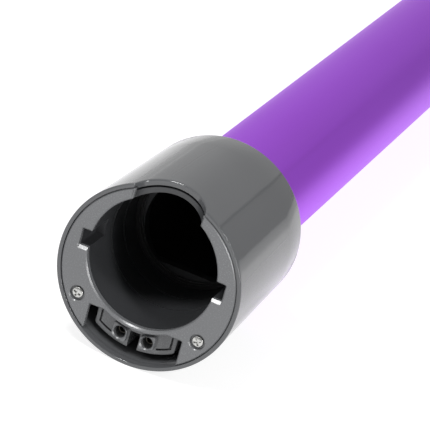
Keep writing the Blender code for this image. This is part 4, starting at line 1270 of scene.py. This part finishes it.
# ------------------------------
# Studio. The finished wand lies on a wide white table. A soft dome lights it: a long white bank
# overhead and to the left, and a grey flag to the right that keeps one side of the gloss dark.
CAMERA_PLACE = (0.17087, -0.97986, 0.30982)
CAMERA_AXES = ((0.90377, 0.34142, 0.25813), (-0.36068, 0.28281, 0.88878), (0.23044, -0.89635, 0.37874))
CAMERA_LENS = 222.3
TABLE_HALF = 12.0
TABLE_WHITE = "A8A8A8"
TABLE_WHITE_TINT = "ACACAC"
TABLE_GLOW = 0.78  # the table is backlit, as a shadowless product table is
TABLE_GLOW_BEYOND = 0.45
PANEL_EDGE = 0.14  # where the bright panel starts to fade on the right, past the view
PANEL_FADE = 0.05
DOME_FRONT = 0.6  # the dome's share of light on the side that the socket's face sees
# how bright the dome is round the wand's axis, from the table on its right, over it, to the left
DOME_BANDS = (
    (0.0, "929292"), (0.18, "A0A0A0"), (0.262, "A2A2A2"), (0.270, "7C7C7C"), (0.284, "7C7C7C"),
    (0.292, "B8B8B8"), (0.48, "BCBCBC"), (0.57, "C2C2C2"), (0.66, "CCCCCC"), (0.76, "D6D6D6"),
    (0.915, "D6D6D6"), (0.922, "FFFFFF"), (0.930, "FFFFFF"), (0.937, "D8D8D8"), (1.0, "F4F4F4"),
)
SOFT_BOXES = (  # name, place, width, height, power: a fill on the left, one over the mouth, one for the rim
    ("fill_light", (-1.1, -1.3, 1.1), 0.8, 0.8, 2.0),
    ("mouth_light", (-0.2, -0.78, 0.95), 0.2, 0.2, 6.0),
    ("rim_light", (0.86, -0.8, 0.48), 0.06, 0.95, 7.0),
)


def table_white():
    """Matt white laminate: an even tone with a faint cloudiness some 200 mm across, lit from below."""
    made = textured(
        "white laminate table", {"Roughness": 0.9, "Emission Color": linear("FFFFFF")},
        {"cloud": {"Scale": 5.0, "Detail": 1.0}}, tone=("cloud", TABLE_WHITE, TABLE_WHITE_TINT),
    )
    tree = made.node_tree
    place = add(tree, "ShaderNodeTexCoord").outputs["Object"]
    sideways = add(tree, "ShaderNodeSeparateXYZ", inputs={0: place}).outputs["X"]
    panel = add(
        tree, "ShaderNodeMapRange",
        inputs={"Value": sideways, "From Min": PANEL_EDGE, "From Max": PANEL_EDGE + PANEL_FADE,
                "To Min": TABLE_GLOW, "To Max": TABLE_GLOW_BEYOND},
    )
    tree.links.new(panel.outputs[0], tree.nodes["surface"].inputs["Emission Strength"])
    return made


def soft_dome():
    """A world whose light changes only with the direction round the wand's long axis."""
    dome = bpy.data.worlds.new("soft dome")
    dome.use_nodes = True
    tree = dome.node_tree
    tree.nodes.clear()
    heading = add(tree, "ShaderNodeTexCoord").outputs["Generated"]
    parts = add(tree, "ShaderNodeSeparateXYZ", inputs={0: heading})
    turn = add(
        tree, "ShaderNodeMath", {"operation": "ARCTAN2"}, {0: parts.outputs["Z"], 1: parts.outputs["X"]}
    )
    half_turn = add(tree, "ShaderNodeMath", {"operation": "DIVIDE"}, {0: turn.outputs[0], 1: pi})
    bands = add(tree, "ShaderNodeValToRGB", inputs={0: half_turn.outputs[0]})
    ramp = bands.color_ramp
    for place, shade in DOME_BANDS[1:-1]:
        ramp.elements.new(place)
    for element, (place, shade) in zip(ramp.elements, DOME_BANDS):
        element.position = place
        element.color = linear(shade)
    front = add(
        tree, "ShaderNodeMapRange",
        inputs={"Value": parts.outputs["Y"], "From Min": -0.6, "From Max": 0.5, "To Min": DOME_FRONT},
    )
    glow = add(
        tree, "ShaderNodeBackground", inputs={"Color": bands.outputs["Color"], "Strength": front.outputs[0]}
    )
    add(tree, "ShaderNodeOutputWorld", inputs={"Surface": glow.outputs[0]})
    return dome


table = linked("table", bpy.data.meshes.new("table"))
corners = [(x, y, 0) for x, y in rectangle(-TABLE_HALF, TABLE_HALF, -TABLE_HALF, TABLE_HALF)]
table.data.from_pydata(corners, [], [(0, 1, 2, 3)])
table.data.materials.append(table_white())
bpy.context.scene.world = soft_dome()
for name, place, width, height, power in SOFT_BOXES:
    lamp = linked(name, bpy.data.lights.new(name, "AREA"))
    lamp.data.shape, lamp.data.size, lamp.data.size_y, lamp.data.energy = "RECTANGLE", width, height, power
    lamp.location = place
    lamp.rotation_euler = (
        Vector((0.0, FACE_Y, COLLAR_Z)) - Vector(place)
    ).to_track_quat("-Z", "Y").to_euler()
camera = linked("camera", bpy.data.cameras.new("camera"))
camera.data.lens, camera.data.sensor_width, camera.data.clip_start = CAMERA_LENS, 36.0, 0.01
camera.matrix_world = (
    Matrix.Translation(CAMERA_PLACE) @ Matrix([Vector(a) for a in CAMERA_AXES]).transposed().to_4x4()
)
bpy.context.scene.camera = camera
bpy.context.scene.view_settings.view_transform = "Standard"

bpy.context.view_layer.update()
